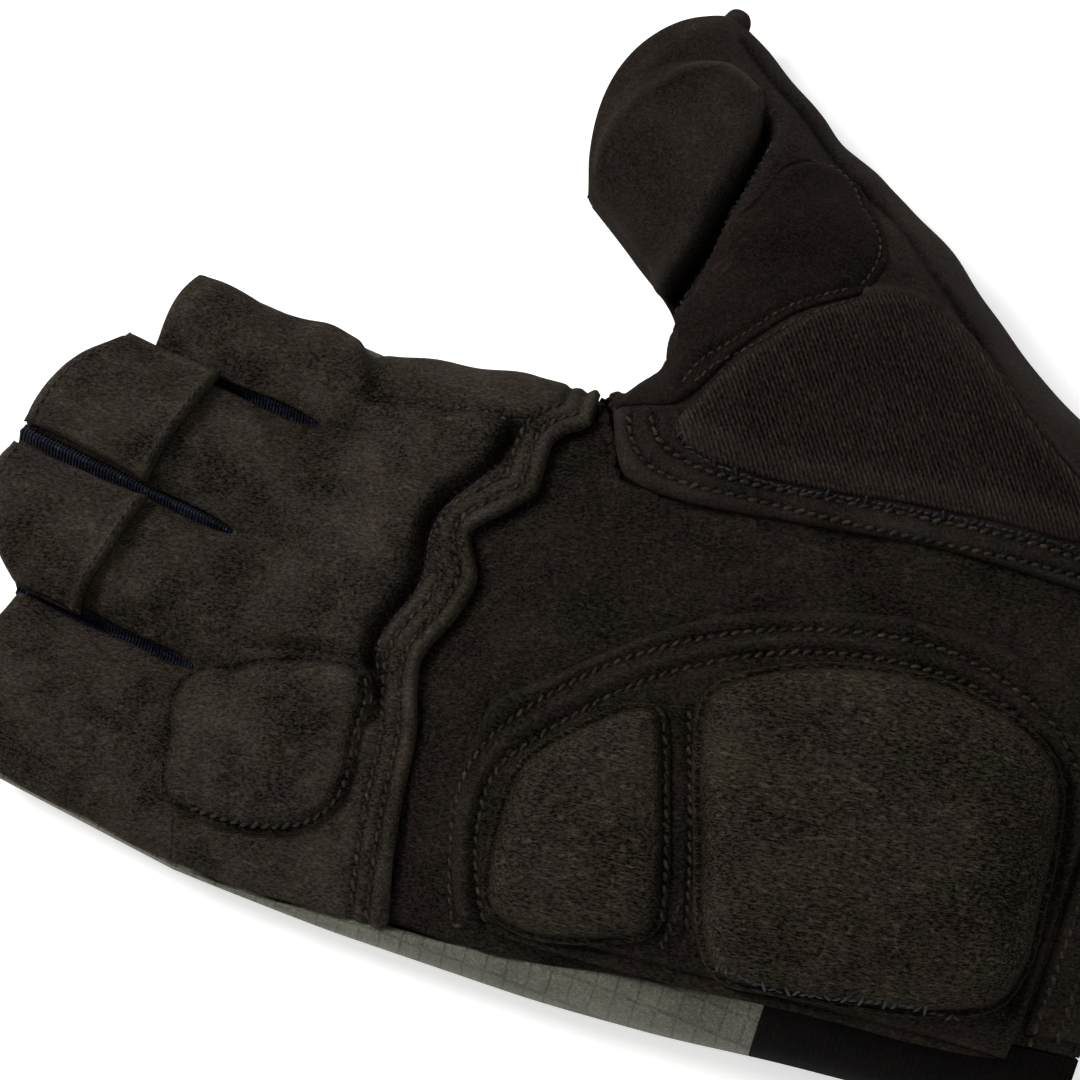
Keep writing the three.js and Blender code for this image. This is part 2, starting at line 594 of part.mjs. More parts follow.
const cloth = (color, roughness) => new THREE.MeshStandardMaterial({ color, roughness, metalness: 0 });
const palmSuede = cloth('#29251f', 0.95);
const terryCloth = cloth('#211d1a', 1);
const ripstop = cloth('#53534a', 0.85);
const stretchKnit = cloth('#1c1b1d', 0.8);
const elasticKnit = cloth('#110d0a', 0.9);

const glove = new THREE.Group();
function addPiece(name, geometry, material) {
  const piece = new THREE.Mesh(geometry, material);
  piece.name = name;
  glove.add(piece);
}

const [little, ring, middle, index] = fingers;
const onPatch = overlayCloth + 2 * overlayGap;
addPiece('palm_panel', palmPanel(), palmSuede);
addPiece('finger_panel', fingerPanel(), palmSuede);
addPiece('back_panel', backPanel(), ripstop);
addPiece('cuff_back', cuffBack(), elasticKnit);
addPiece('thumb_panel', thumbPanel(), palmSuede);
addPiece('thumb_back', thumbBack(), palmSuede);
addPiece('thumb_tip_pad', thumbOverlay(thumbTipOverlay), palmSuede);
addPiece('thumb_middle_panel', thumbOverlay(thumbMiddleOverlay), palmSuede);
addPiece('thumb_base_panel', thumbOverlay(thumbBaseOverlay), terryCloth);
addPiece('thumb_seam_end', seamEnd(), palmSuede);
addPiece('gusset_little_ring', gusset(little, ring), stretchKnit);
addPiece('gusset_ring_middle', gusset(ring, middle), stretchKnit);
addPiece('gusset_middle_index', gusset(middle, index), stretchKnit);
addPiece('pull_tab_ring', pullTab(ring), palmSuede);
addPiece('pull_tab_middle', pullTab(middle), palmSuede);
addPiece('heel_patch', heelPatch(), palmSuede);
addPiece('heel_pad', padSolid(heelPadOutline, heelPadHeight, onPatch), palmSuede);
addPiece('heel_pad_small', padSolid(smallPadOutline, smallPadHeight, onPatch), palmSuede);
addPiece('little_finger_pad', padSolid(littlePadOutline, fingerPadHeight, overlayGap), palmSuede);
addPiece('wrist_hem', wristHem(), palmSuede);

export default glove;
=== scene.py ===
import math

import bpy
import numpy as np
from mathutils import Matrix, Vector
from mathutils.bvhtree import BVHTree


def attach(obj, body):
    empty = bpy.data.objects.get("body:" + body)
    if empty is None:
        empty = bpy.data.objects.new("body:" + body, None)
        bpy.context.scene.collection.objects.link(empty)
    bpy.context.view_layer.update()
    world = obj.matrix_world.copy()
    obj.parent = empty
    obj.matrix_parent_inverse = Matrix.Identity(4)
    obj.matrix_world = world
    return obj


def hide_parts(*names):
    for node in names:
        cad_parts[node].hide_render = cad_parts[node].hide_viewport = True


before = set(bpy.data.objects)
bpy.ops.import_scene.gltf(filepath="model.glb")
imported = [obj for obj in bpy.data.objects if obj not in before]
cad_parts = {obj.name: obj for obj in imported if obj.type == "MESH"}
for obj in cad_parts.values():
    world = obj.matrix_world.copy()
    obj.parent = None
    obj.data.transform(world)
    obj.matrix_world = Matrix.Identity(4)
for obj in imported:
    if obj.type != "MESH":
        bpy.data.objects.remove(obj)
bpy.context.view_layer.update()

# A half-finger cycling glove for the right hand, palm up. Lengths here are millimetres: x to the thumb's
# side, y to the fingertips, z up. addMesh turns them into metres.
palmLength = 137.5  # from the wrist's hem to the root of the middle finger
palmWidth = 85
palmHeight = 23
edgeHeight = 6.5  # where the palm side meets the back at a free edge
crookShare = 0.687  # share of palmLength at which the thumb leaves the hand
ulnarRound = 26  # how far in the palm is rounded at the little finger's side
radialRound = 18  # and at the thumb's side
backRound = 9
fingerLength = 34.5
fingerHeight = 16.5
fingerDroop = 2.5  # how much lower a tip lies than its root
fingerEdge = 12.5  # height of a finger's wall beside a slit, palm side
fingerBackEdge = 2.5  # and on the back
slitWidth = 1.9
crotchReach = 15  # over this length the hand's arch turns into the fingers' arches
thumbReach = 96.5
thumbHeight = 26
thumbBulge = 0.05  # share of palmLength by which the thumb's opening bows out
cuffLength = 44
suede = 1.6  # walls of cloth
backCloth = 1.2
cuffCloth = 1.6
overlayCloth = 1.1
clearance = 0.4  # between neighbours
overlayGap = 0.6  # under what is sewn on, in the CAD
sewnGap = 0.15  # and here, where it is sewn down
lapLift = suede + clearance
onPatch = overlayCloth + 2 * overlayGap
hemY = -0.582 * palmLength
# The fork between thumb and palm: pushed in round a centre, and slack where the thumb begins.
fork = {"centre": (39.5, 10.5), "push": (-1.4, -4.2), "reach": 6, "slack": 1.3, "slackAt": 0.735,
        "slackReach": 0.065}


def columns(names, rows):
    # A table with named columns.
    return dict(zip(names.split(), np.array(rows, float).T))


# Sections of the hand from wrist to fingers, as shares of palmLength, palmWidth and palmHeight, near the
# part's source. The suede starts at flank, in from the little finger's side. drop is 0 where the thumb's
# side is as high as the crown, and 1 where it has come down to edgeHeight.
palmSections = columns("along ulnar radial crown flank drop", [
    [0.0, -0.518, 0.325, 0.74, 0.094, 0],
    [0.145, -0.559, 0.304, 0.93, 0.102, 0],
    [0.291, -0.579, 0.293, 1.0, 0.082, 0],
    [0.436, -0.602, 0.259, 1.0, 0.068, 0],
    [0.582, -0.612, 0.232, 0.97, 0.042, 0],
    [0.63, -0.612, 0.247, 0.955, 0.036, 0.08],
    [0.651, -0.612, 0.29, 0.945, 0.032, 0.12],
    [0.669, -0.612, 0.35, 0.935, 0.03, 0.3],
    [0.687, -0.612, 0.398, 0.93, 0.028, 0.7],
    [0.705, -0.612, 0.41, 0.92, 0.025, 1],
    [0.742, -0.612, 0.408, 0.89, 0.021, 1],
    [0.873, -0.605, 0.374, 0.79, 0.009, 1],
    [1.0, -0.593, 0.335, 0.71, 0.006, 1],
])
# The wavy seam, and the line on which the fingers part.
waveEdge = columns("across along", [
    [0.0, 0.712], [0.197, 0.7345], [0.324, 0.7447], [0.405, 0.7607], [0.445, 0.7658], [0.543, 0.7447],
    [0.597, 0.7396], [0.677, 0.7607], [0.728, 0.733], [0.775, 0.7105], [0.855, 0.7135], [0.939, 0.683],
    [1.0, 0.685],
])
crotchLine = columns("across along", [
    [0.0, 0.945], [0.342, 0.99], [0.6025, 1.0], [0.829, 0.952], [1.0, 0.92]])
# From the little finger to the index: shares across the hand at the root, the tip's two corners, and
# whether a side wraps round to the back without a slit.
fingers = columns("start stop ulnarX ulnarY radialX radialY crown bulge wrapsUlnar wrapsRadial", [
    [0, 0.342, -0.543, 0.66, -0.242, 0.78, 0.95, 0.09, 1, 0],
    [0.342, 0.6025, -0.219, 0.82, 0.005, 1.0, 1.0, 0.12, 0, 0],
    [0.6025, 0.829, 0.036, 1.0, 0.221, 0.77, 1.0, 0.05, 0, 0],
    [0.829, 1, 0.235, 0.61, 0.392, 0.545, 0.95, 0.015, 0, 1],
])
# Sections of the thumb from its root to its opening: where the inner and the outer end lie, the crown, and
# closed, which is 1 where the thumb is free of the hand.
thumbSections = columns("at innerX seamY outerX outerY crown closed", [
    [0.0, 0.325, 0.0, 0.373, 0.0, 0.77, 0],
    [0.1, 0.304, 0.131, 0.482, 0.116, 0.92, 0],
    [0.22, 0.293, 0.276, 0.585, 0.24, 1.0, 0],
    [0.34, 0.268, 0.4, 0.674, 0.327, 1.0, 0],
    [0.45, 0.241, 0.524, 0.751, 0.393, 0.98, 0],
    [0.53, 0.232, 0.604, 0.793, 0.444, 0.94, 0],
    [0.57, 0.25, 0.64, 0.81, 0.47, 0.91, 0],
    [0.6, 0.35, 0.669, 0.825, 0.49, 0.88, 0],
    [0.63, 0.395, 0.678, 0.842, 0.515, 0.84, 0.08],
    [0.66, 0.425, 0.643, 0.856, 0.535, 0.81, 0.8],
    [0.72, 0.498, 0.628, 0.886, 0.564, 0.78, 1],
    [0.8, 0.579, 0.644, 0.922, 0.605, 0.73, 1],
    [0.9, 0.659, 0.705, 0.964, 0.646, 0.68, 1],
    [1.0, 0.741, 0.778, 1.0, 0.687, 0.64, 1],
])
# What is sewn on reaches from low to high, along the thumb or the hand, at each share across.
thumbTipOutline = columns("across low high", [
    [0.01, 0.823, 0.99], [0.115, 0.804, 0.992], [0.4, 0.788, 0.986], [0.6, 0.788, 0.967], [0.7, 0.79, 0.947],
    [0.78, 0.81, 0.915], [0.82, 0.835, 0.87],
])
thumbMiddleOutline = columns("across low high", [
    [0.02, 0.6, 0.78], [0.1, 0.588, 0.77], [0.23, 0.566, 0.757], [0.42, 0.552, 0.745], [0.53, 0.535, 0.733],
    [0.615, 0.508, 0.724], [0.7, 0.48, 0.718], [0.78, 0.484, 0.7], [0.84, 0.512, 0.675], [0.88, 0.55, 0.65],
    [0.91, 0.59, 0.62],
])
thumbBaseOutline = columns("across low high", [
    [0.112, 0.4, 0.43], [0.122, 0.355, 0.5], [0.14, 0.3, 0.535], [0.16, 0.24, 0.552], [0.265, 0.133, 0.555],
    [0.42, 0.09, 0.54], [0.53, 0.13, 0.524], [0.615, 0.185, 0.498], [0.68, 0.235, 0.473], [0.73, 0.27, 0.442],
    [0.76, 0.31, 0.41], [0.775, 0.35, 0.38],
])
heelOutline = columns("across low high", [
    [0.088, 0.072, 0.645], [0.18, 0.067, 0.674], [0.29, 0.067, 0.688], [0.39, 0.067, 0.685],
    [0.49, 0.067, 0.66], [0.6, 0.067, 0.62], [0.7, 0.067, 0.566], [0.77, 0.075, 0.511],
    [0.815, 0.12, 0.446], [0.845, 0.19, 0.365], [0.856, 0.24, 0.31],
])
hemOutline = columns("across low high", [[0.14, 0.004, 0.062], [0.5, 0.004, 0.062], [0.93, 0.004, 0.062]])
# Corners of the pads: across, along.
heelPadOutline = np.array([
    [0.111, 0.372], [0.176, 0.407], [0.307, 0.434], [0.458, 0.462], [0.576, 0.4785], [0.642, 0.474],
    [0.691, 0.441], [0.729, 0.386], [0.747, 0.317], [0.751, 0.244], [0.727, 0.177], [0.679, 0.127],
    [0.608, 0.103], [0.511, 0.091], [0.39, 0.084], [0.27, 0.08], [0.18, 0.096], [0.14, 0.15],
    [0.118, 0.229], [0.108, 0.31],
])
smallPadOutline = np.array([
    [0.1, 0.575], [0.127, 0.62], [0.217, 0.636], [0.339, 0.6385], [0.421, 0.626], [0.51, 0.588],
    [0.572, 0.55], [0.582, 0.517], [0.536, 0.498], [0.424, 0.4785], [0.293, 0.455], [0.197, 0.443],
    [0.147, 0.457], [0.1125, 0.517],
])
littlePadOutline = np.array([
    [0.086, 0.961], [0.12, 0.982], [0.199, 0.995], [0.271, 1.004], [0.318, 0.998], [0.36, 0.969],
    [0.397, 0.906], [0.415, 0.857], [0.41, 0.8175], [0.367, 0.8], [0.296, 0.798], [0.23, 0.791],
    [0.17, 0.797], [0.12, 0.825], [0.092, 0.8735], [0.085, 0.9215],
])

# Lines of seams, folds and stitches in plan, in millimetres.
lines = {
    "valley": [(27, 23.4), (22.5, 24.1), (18, 25.2), (13.5, 28.1), (9.7, 30.5), (5.4, 31.3), (0.3, 30.2),
               (-3.5, 30.4), (-8.3, 32.2), (-12.5, 33), (-15.6, 31.9)],
    "littleSide": [(-19.6, 54.5), (-17.2, 45), (-15.6, 38), (-15.8, 33.5), (-18.2, 30.4), (-23, 29.2)],
    "indexSeam": [(21.7, 45.1), (22.8, 39.7), (23.8, 34.0), (24.3, 29.6), (24.2, 25.3)],
    "fieldSeam": [(-15.4, 57.2), (-17.6, 53.9), (-18.4, 49.3), (-17.5, 43.6), (-16.6, 38), (-16.4, 35)],
    "channelRow": [(-10.2, -9.6), (-19.7, -13.2), (-30.4, -16.8), (-38.4, -19)],
    "channelRow2": [(-8.6, -13), (-21.1, -17.3), (-31.6, -20.8), (-38, -22.6)],
    "padSeam": [(-41.6, -27.9), (-42.2, -34.7), (-40.7, -44.4), (-38.6, -53.9), (-37.3, -62.5)],
    "tipArc": [(66, 25.4), (68.2, 25.9), (71.4, 25.6), (76.2, 23.8), (79.7, 20.9), (83.2, 17.7),
               (84.9, 14.3), (85, 10.8), (83.2, 7.4)],
    "fold": [(82.6, 6.2), (80.8, 5.1), (76.3, 4.0), (70.0, 5.0), (63.2, 6.2), (57.1, 7.4), (53.2, 8.7),
             (50.3, 10.0)],
    "crease": [(64.2, 3.2), (65.8, 2.1), (69.2, 1.6), (72.2, 0.7), (75.5, -2.8)],
    "middleRow": [(75.5, -3.2), (76.0, -6.9), (74.4, -10.1), (70.7, -12.7), (67.8, -15.7), (64.6, -17.3),
                  (60.6, -17.2), (58, -16.3)],
    "doubleRow": [(57.0, -15.0), (54.4, -11.3), (50.5, -6.7), (45.0, -2.5), (39.9, 1.8), (36.0, 3.2)],
    "doubleRow2": [(56.0, -16.4), (53.3, -13.0), (49.1, -8.6), (44.4, -4.5), (40.2, -0.6), (36.6, 1.6)],
    "baseRidge": [(56.7, -16.9), (58.0, -21.4), (58.3, -26.6), (56.0, -31.5), (52.6, -36.6),
                  (48.5, -41.9), (44.0, -48.2), (38.5, -56.5)],
    "baseLow": [(29.5, 1.5), (27.4, -1.5), (26.6, -5.7), (26.4, -11.7), (27.1, -18.9), (28.2, -25.9),
                (30.0, -38.7), (31.9, -57.3)],
    "bandRow": [(30, 9), (27.8, 8.2), (24.1, 5.4), (22.4, 1.0), (22.2, -4.3), (22.9, -12.9),
                (23.7, -23.1), (24.8, -33.1), (26.1, -44.6), (27.5, -59.0), (28, -72)],
    "bandRow2": [(30.6, 6), (27.2, 3.6), (25.2, -1.5), (24.9, -9.1), (25.8, -17.7), (27.1, -27.7),
                 (28.5, -39.1), (29.6, -49.1), (30.0, -58.0), (30.4, -71)],
    "thumbEdge": [(91.5, 12), (89.1, 8.4), (83.2, 0.7), (76.6, -9.1), (70.2, -18.7), (62.1, -28.7),
                  (52.3, -39.0), (43.1, -50.7), (38, -58)],
    "heelOut": [(-47.2, 7.5), (-46.1, 9.3), (-39.3, 11.9), (-31.3, 13.8), (-24.4, 13.3), (-18.1, 10.3),
                (-11.6, 5.2), (-5.1, -1.5), (0.7, -9.9), (5.3, -18.8), (8.5, -28.1), (10.6, -37.7),
                (11.0, -46.4), (9.4, -54.4), (6.6, -61.3), (1.2, -67.6)],
    "notch": [(35, 49.6), (31, 48.4), (27.5, 47), (24, 45.4)],
    "padFold": [(2.6, -58), (1.9, -64.9), (-3.2, -67.1), (-11.6, -68.7), (-20.7, -69.3), (-32.7, -68.4)],
    "hemRow": [(-6, -73), (-20, -73.2), (-39, -72.8)],
    "hemRow2": [(-4, -76.2), (-20, -76.6), (-39, -76.2)],
    "gather": [(-35.3, -20.6), (-38.2, -20.4), (-41.8, -19.9)],
    "heelIn": [(-45.6, 4.4), (-43.1, 6.2), (-37.0, 8.9), (-30.1, 10.1), (-24.7, 9.5), (-18.9, 5.6),
               (-11.5, -0.7), (-5.4, -7.5), (-0.7, -14.8), (3.6, -23.7), (6.4, -33.2), (7.6, -43.1),
               (7.1, -52.2), (3.7, -60.6), (-1.5, -66.6)],
}
lines["heelMid"] = (np.array(lines["heelOut"][1:]) + np.array(lines["heelIn"])) / 2
lines["ridgeOut"] = np.array(lines["baseRidge"]) + [0.8, -0.4]
lines["baseBulge"] = np.array(lines["baseLow"]) + [2.2, 0]
lines["baseEdge"] = np.array(lines["baseLow"]) - [0.7, 0]


def readTable(table, column, value):
    # A smooth curve through the rows that never overshoots them: the slope at a row is the harmonic mean of
    # the slopes beside it, or 0 where they differ in sign.
    x, y = table[next(iter(table))], table[column]
    slope = np.diff(y) / np.diff(x)
    before, after = slope[:-1], slope[1:]
    total = np.where(before + after == 0, 1, before + after)
    tangent = np.r_[slope[0], np.where(before * after <= 0, 0, 2 * before * after / total), slope[-1]]
    value = np.clip(value, x[0], x[-1])
    i = np.clip(np.searchsorted(x, value, side="right") - 1, 0, len(x) - 2)
    width = x[i + 1] - x[i]
    u = (value - x[i]) / width
    rise = y[i + 1] - y[i]
    start, end = tangent[i] * width, tangent[i + 1] * width
    return y[i] + u * (start + u * (3 * rise - 2 * start - end + u * (start + end - 2 * rise)))


def lerp(a, b, t):
    # a at t = 0 and b at t = 1, in a straight line.
    return a + (b - a) * t


def smoothstep(x, low, high):
    # 0 up to low and 1 from high on. Between them 3 times t squared less 2 times t cubed.
    t = np.clip((x - low) / (high - low), 0, 1)
    return t * t * (3 - 2 * t)


def bell(d, width):
    # e to the minus (distance / width) squared.
    return np.exp(-((d / width) ** 2))


def rounded(share, fullness):
    # 1 less (1 - share) squared, to the power of fullness: a half is a quarter circle, 1 a parabola.
    return (1 - (1 - np.clip(share, 0, 1)) ** 2) ** fullness


def arch(crown, edge0, share0, fullness0, edge1, share1, fullness1):
    # Level at the crown, falling to each edge over its own rounding.
    fall0 = (crown - edge0) * (1 - rounded(share0, fullness0))
    return crown - fall0 - (crown - edge1) * (1 - rounded(share1, fullness1))


def fingerZ(k, s, t, side):
    # The height of finger k at shares s along and t across: an arch between its two edges.
    outer0, outer1 = fingers["wrapsUlnar"][k] > 0, fingers["wrapsRadial"][k] > 0
    full0, full1 = np.where(outer0, 0.5, 1), np.where(outer1, 0.5, 1)
    droop = fingerDroop * s
    crown, edge = (0, fingerBackEdge) if side == "back" else (fingers["crown"][k] * fingerHeight - droop,
                                                              fingerEdge - droop)
    edge0, edge1 = np.where(outer0, edgeHeight, edge), np.where(outer1, edgeHeight, edge)
    z = arch(crown, edge0, t / 0.5, full0, edge1, (1 - t) / 0.5, full1)
    # The index fingertip is pressed a little flatter.
    flat = 0.3 * s**3 * (k == 3) * (side == "palm")
    return z + (edgeHeight + 2 - z) * flat


def radialX(along, side):
    # The hand's edge on the thumb's side. The back has it straight from the wrist to the crook.
    edge = readTable(palmSections, "radial", along) * palmWidth
    if side == "palm":
        return edge
    ends = readTable(palmSections, "radial", np.array([0, crookShare])) * palmWidth
    return np.where(along >= crookShare, edge, lerp(ends[0], ends[1], along / crookShare))


def palmPoint(along, across, side="palm"):
    # The hand at a share along and a share across: straight from edge to edge in plan, an arch in height,
    # which blends into the fingers' arches just short of the crotch line.
    along, across = np.broadcast_arrays(np.asarray(along, float), np.asarray(across, float))
    ulnarX = readTable(palmSections, "ulnar", along) * palmWidth
    width = radialX(along, side) - ulnarX
    onPalm = side == "palm"
    share0 = across * width / (ulnarRound if onPalm else backRound)
    share1 = (1 - across) * width / (radialRound if onPalm else backRound)
    crown = readTable(palmSections, "crown", along) * palmHeight * onPalm
    edge1 = lerp(crown, edgeHeight, readTable(palmSections, "drop", along))
    handZ = arch(crown, edgeHeight, share0, 0.5, edge1, share1, 0.5)
    k = np.minimum(np.searchsorted(fingers["stop"], across), 3)
    start, stop = fingers["start"][k], fingers["stop"][k]
    crotch = readTable(crotchLine, "along", across)
    blend = smoothstep(along, crotch - crotchReach / palmLength, crotch)
    z = lerp(handZ, fingerZ(k, 0, (across - start) / (stop - start), side), blend)
    return np.stack([ulnarX + across * width, hemY + along * palmLength, z], -1)


def fingerPoint(k, s, t, side="palm"):
    # Finger k at shares s along and t across: straight from the crotch line to the tip, with the tip bowed
    # out by 4 t (1 - t) and both sides of a slit drawn in by half its width, less towards the tip.
    s, t = np.broadcast_arrays(np.asarray(s, float), np.asarray(t, float))
    f = {name: column[k] for name, column in fingers.items()}
    across = lerp(f["start"], f["stop"], t)
    base = palmPoint(readTable(crotchLine, "along", across), across, side)
    tipX = lerp(f["ulnarX"], f["radialX"], t) * palmWidth
    tipY = hemY + palmLength + lerp(f["ulnarY"], f["radialY"], t) * fingerLength
    bulge = f["bulge"] * fingerLength * s**3 * 4 * t * (1 - t) * (side == "palm")
    pinch = slitWidth / 2 * (1 - s) * np.sqrt(np.clip(s / 0.15, 0, 1)) * (1 - 2 * t)
    free = ((t < 0.5) & (f["wrapsUlnar"] > 0)) | ((t > 0.5) & (f["wrapsRadial"] > 0))
    x = lerp(base[..., 0], tipX, s) + np.where(free, 0, pinch)
    return np.stack([x, lerp(base[..., 1], tipY, s) + bulge, fingerZ(k, s, t, side)], -1)


def thumbPoint(at, t, side="palm"):
    # The thumb in section at, at a share t across: straight from the inner to the outer end in plan, pushed
    # in round the fork, and an arch in height.
    at, t = np.broadcast_arrays(np.asarray(at, float), np.asarray(t, float))
    row = {name: readTable(thumbSections, name, at) for name in thumbSections}
    apart = clearance * (side == "back")
    innerX = lerp(radialX(row["seamY"], side) + apart, row["innerX"] * palmWidth, row["closed"])
    inner = np.stack([innerX, hemY + row["seamY"] * palmLength], -1)
    outer = np.stack([row["outerX"] * thumbReach, hemY + row["outerY"] * palmLength], -1)
    width = np.linalg.norm(outer - inner, axis=-1)
    place = lerp(inner, outer, t[..., None])
    way = (outer - inner) / width[..., None]
    forward = np.stack([-way[..., 1], way[..., 0]], -1)
    near = np.exp(-((place - fork["centre"]) ** 2).sum(-1) / fork["reach"] ** 2)
    place = place + near[..., None] * np.array(fork["push"])
    seamZ = palmPoint(row["seamY"], 1.0, side)[..., 2]
    if side == "back":
        edge0 = lerp(seamZ, edgeHeight, row["closed"])
        z = arch(0, edge0, t * width / backRound, 0.5, edgeHeight, (1 - t) * width / backRound, 0.5)
    else:
        place = place + forward * (thumbBulge * palmLength * at**12 * 4 * t * (1 - t))[..., None]
        drop = readTable(palmSections, "drop", row["seamY"])
        edge0 = lerp(seamZ + lapLift * (1 - drop), edgeHeight, row["closed"])
        slack = fork["slack"] * bell(at - fork["slackAt"], fork["slackReach"])
        z = arch(row["crown"] * thumbHeight, edge0, t / 0.45, lerp(1, 0.5, row["closed"]) + slack,
                 edgeHeight, (1 - t) / 0.5, 0.5)
    return np.concatenate([place, z[..., None]], -1)


def normalAt(surface, a, b, step=0.002):
    # The cross product of two central differences of the surface, made one long.
    n = np.cross(surface(a, b + step) - surface(a, b - step), surface(a + step, b) - surface(a - step, b))
    return n / np.maximum(np.linalg.norm(n, axis=-1, keepdims=True), 1e-9)


def smoothLine(corners, step=0.6, closed=False):
    # Catmull-Rom through the corners, resampled at even steps.
    p = np.array(corners, float)
    ends = (p[-1:], p[:1]) if closed else (2 * p[:1] - p[1:2], 2 * p[-1:] - p[-2:-1])
    p = np.concatenate([ends[0], p, ends[1]] + ([p[1:2]] if closed else []))
    u = np.linspace(0, 1, 12, endpoint=False)[None, :, None]
    a, b, c, d = (p[i:len(p) - 3 + i, None] for i in range(4))
    fine = 0.5 * (2 * b + (c - a) * u + (2 * a - 5 * b + 4 * c - d) * u**2 + (3 * b - a - 3 * c + d) * u**3)
    fine = np.concatenate([fine.reshape(-1, p.shape[1]), p[-2:-1]])
    return evenly(fine, step)


def evenly(line, step):
    # The same line with its points at even steps.
    run = np.r_[0, np.cumsum(np.linalg.norm(np.diff(line, axis=0), axis=1))]
    at = np.linspace(0, run[-1], max(int(run[-1] / step), 2) + 1)
    return np.stack([np.interp(at, run, line[:, i]) for i in range(line.shape[1])], -1)


def distanceTo(points, line, reach=12):
    # Distance in plan to the nearest piece of the line, which side of it (1 is left), and the run along it.
    xy = points[..., :2].reshape(-1, 2)
    dist, side, run = np.full(len(xy), 1e3), np.ones(len(xy)), np.zeros(len(xy))
    near = np.where(((xy > line.min(0) - reach) & (xy < line.max(0) + reach)).all(1))[0]
    a, ab = line[:-1], np.diff(line, axis=0)
    long = np.linalg.norm(ab, axis=1)
    start = np.r_[0, np.cumsum(long)[:-1]]
    for part in np.array_split(near, max(1, len(near) // 4000)):
        if not len(part):
            continue
        ap = xy[part, None] - a
        t = np.clip((ap * ab).sum(-1) / np.maximum(long**2, 1e-12), 0, 1)
        gap = ap - t[..., None] * ab
        d = np.sqrt((gap**2).sum(-1))
        i = d.argmin(1)
        pick = np.arange(len(part))
        dist[part] = d[pick, i]
        side[part] = np.sign(ab[i, 0] * ap[pick, i, 1] - ab[i, 1] * ap[pick, i, 0])
        run[part] = start[i] + t[pick, i] * long[i]
    shape = points.shape[:-1]
    return dist.reshape(shape), side.reshape(shape), run.reshape(shape)


def lumps(points, size, seed):
    # Twice the mean of nine plane waves of about that length, which is mostly within -1 and 1. Their
    # directions and phases are seeded.
    r, count = np.random.default_rng(seed), 9
    turn = r.uniform(0, math.tau, count)
    wave = math.tau / size * r.uniform(0.6, 1.5, count)
    phase = r.uniform(0, 6, count)
    x, y = points[..., 0, None], points[..., 1, None]
    return np.sin(wave * (x * np.cos(turn) + y * np.sin(turn)) + phase).sum(-1) / (count / 2)


def merged(points, quads, shade):
    # Points that round to the same 1/1000 mm become one, and quads that lose a corner become triangles.
    _, first, number = np.unique(np.round(points, 3), axis=0, return_index=True, return_inverse=True)
    quads = number.reshape(-1)[quads]
    for _ in range(2):  # a quad can lose two corners
        for i in range(4):
            same = (quads[:, i] == quads[:, (i + 1) % 4]) & (quads[:, 3] >= 0)
            rolled = np.stack([quads[:, (i + 1 + j) % 4] for j in range(4)], 1)
            quads[same] = np.c_[rolled[same, :3], np.full(same.sum(), -1)]
    three = quads[:, 3] < 0
    bad = (quads[:, 0] == quads[:, 1]) | (quads[:, 1] == quads[:, 2])
    bad |= three & (quads[:, 0] == quads[:, 2])
    return points[first], quads[~bad], shade[first]


def normalsOf(points, quads):
    # At each point the sum of the cross products of its faces' diagonals, made one long.
    a, b, c = (points[quads[:, i]] for i in range(3))
    d = points[np.where(quads[:, 3] < 0, quads[:, 2], quads[:, 3])]
    n = np.cross(c - a, d - b) + np.where(quads[:, 3:] < 0, np.cross(b - a, c - a), 0)
    total = np.zeros_like(points)
    for i in range(4):
        use = quads[:, i] >= 0
        np.add.at(total, quads[use, i], n[use])
    return total / np.maximum(np.linalg.norm(total, axis=1, keepdims=True), 1e-12)


def gridQuads(rows, cols, first=0):
    # The faces of a grid of points. first is the number of its first point.
    i = first + np.arange(rows * cols).reshape(rows, cols)
    return np.stack([i[:-1, :-1], i[:-1, 1:], i[1:, 1:], i[1:, :-1]], -1).reshape(-1, 4)


def closed(grids, under, flip=False):
    # Joins grids of (points, shade) into one sheet, gives it the underside that under works out from the
    # points and normals, and closes the open edges with a rim.
    quads, points, shade, count = [], [], [], 0
    for grid, tone in grids:
        quads.append(gridQuads(*grid.shape[:2], count))
        points.append(grid.reshape(-1, 3))
        shade.append(tone.reshape(-1))
        count += grid.shape[0] * grid.shape[1]
    points, quads, shade = merged(np.concatenate(points), np.concatenate(quads), np.concatenate(shade))
    if flip:
        three = quads[:, 3] < 0
        quads = np.where(three[:, None], quads[:, [2, 1, 0, 3]], quads[:, ::-1])
    n = len(points)
    below = under(points, normalsOf(points, quads))
    back = np.where(quads[:, 3:] < 0, np.c_[quads[:, 2::-1], quads[:, 3]], quads[:, ::-1])
    back = np.where(back < 0, -1, back + n)
    last = np.where(quads[:, 3] < 0, quads[:, 2], quads[:, 3])
    ends = [(quads[:, 0], quads[:, 1]), (quads[:, 1], quads[:, 2]), (quads[:, 2], last), (last, quads[:, 0])]
    edges = np.concatenate([np.stack(e, 1) for e in ends])
    edges = edges[edges[:, 0] != edges[:, 1]]
    rim = edges[~np.isin(edges[:, 0] * n + edges[:, 1], edges[:, 1] * n + edges[:, 0])]
    wall = np.stack([rim[:, 1], rim[:, 0], rim[:, 0] + n, rim[:, 1] + n], 1)
    return np.concatenate([points, below]), np.concatenate([quads, back, wall]), np.r_[shade, shade]


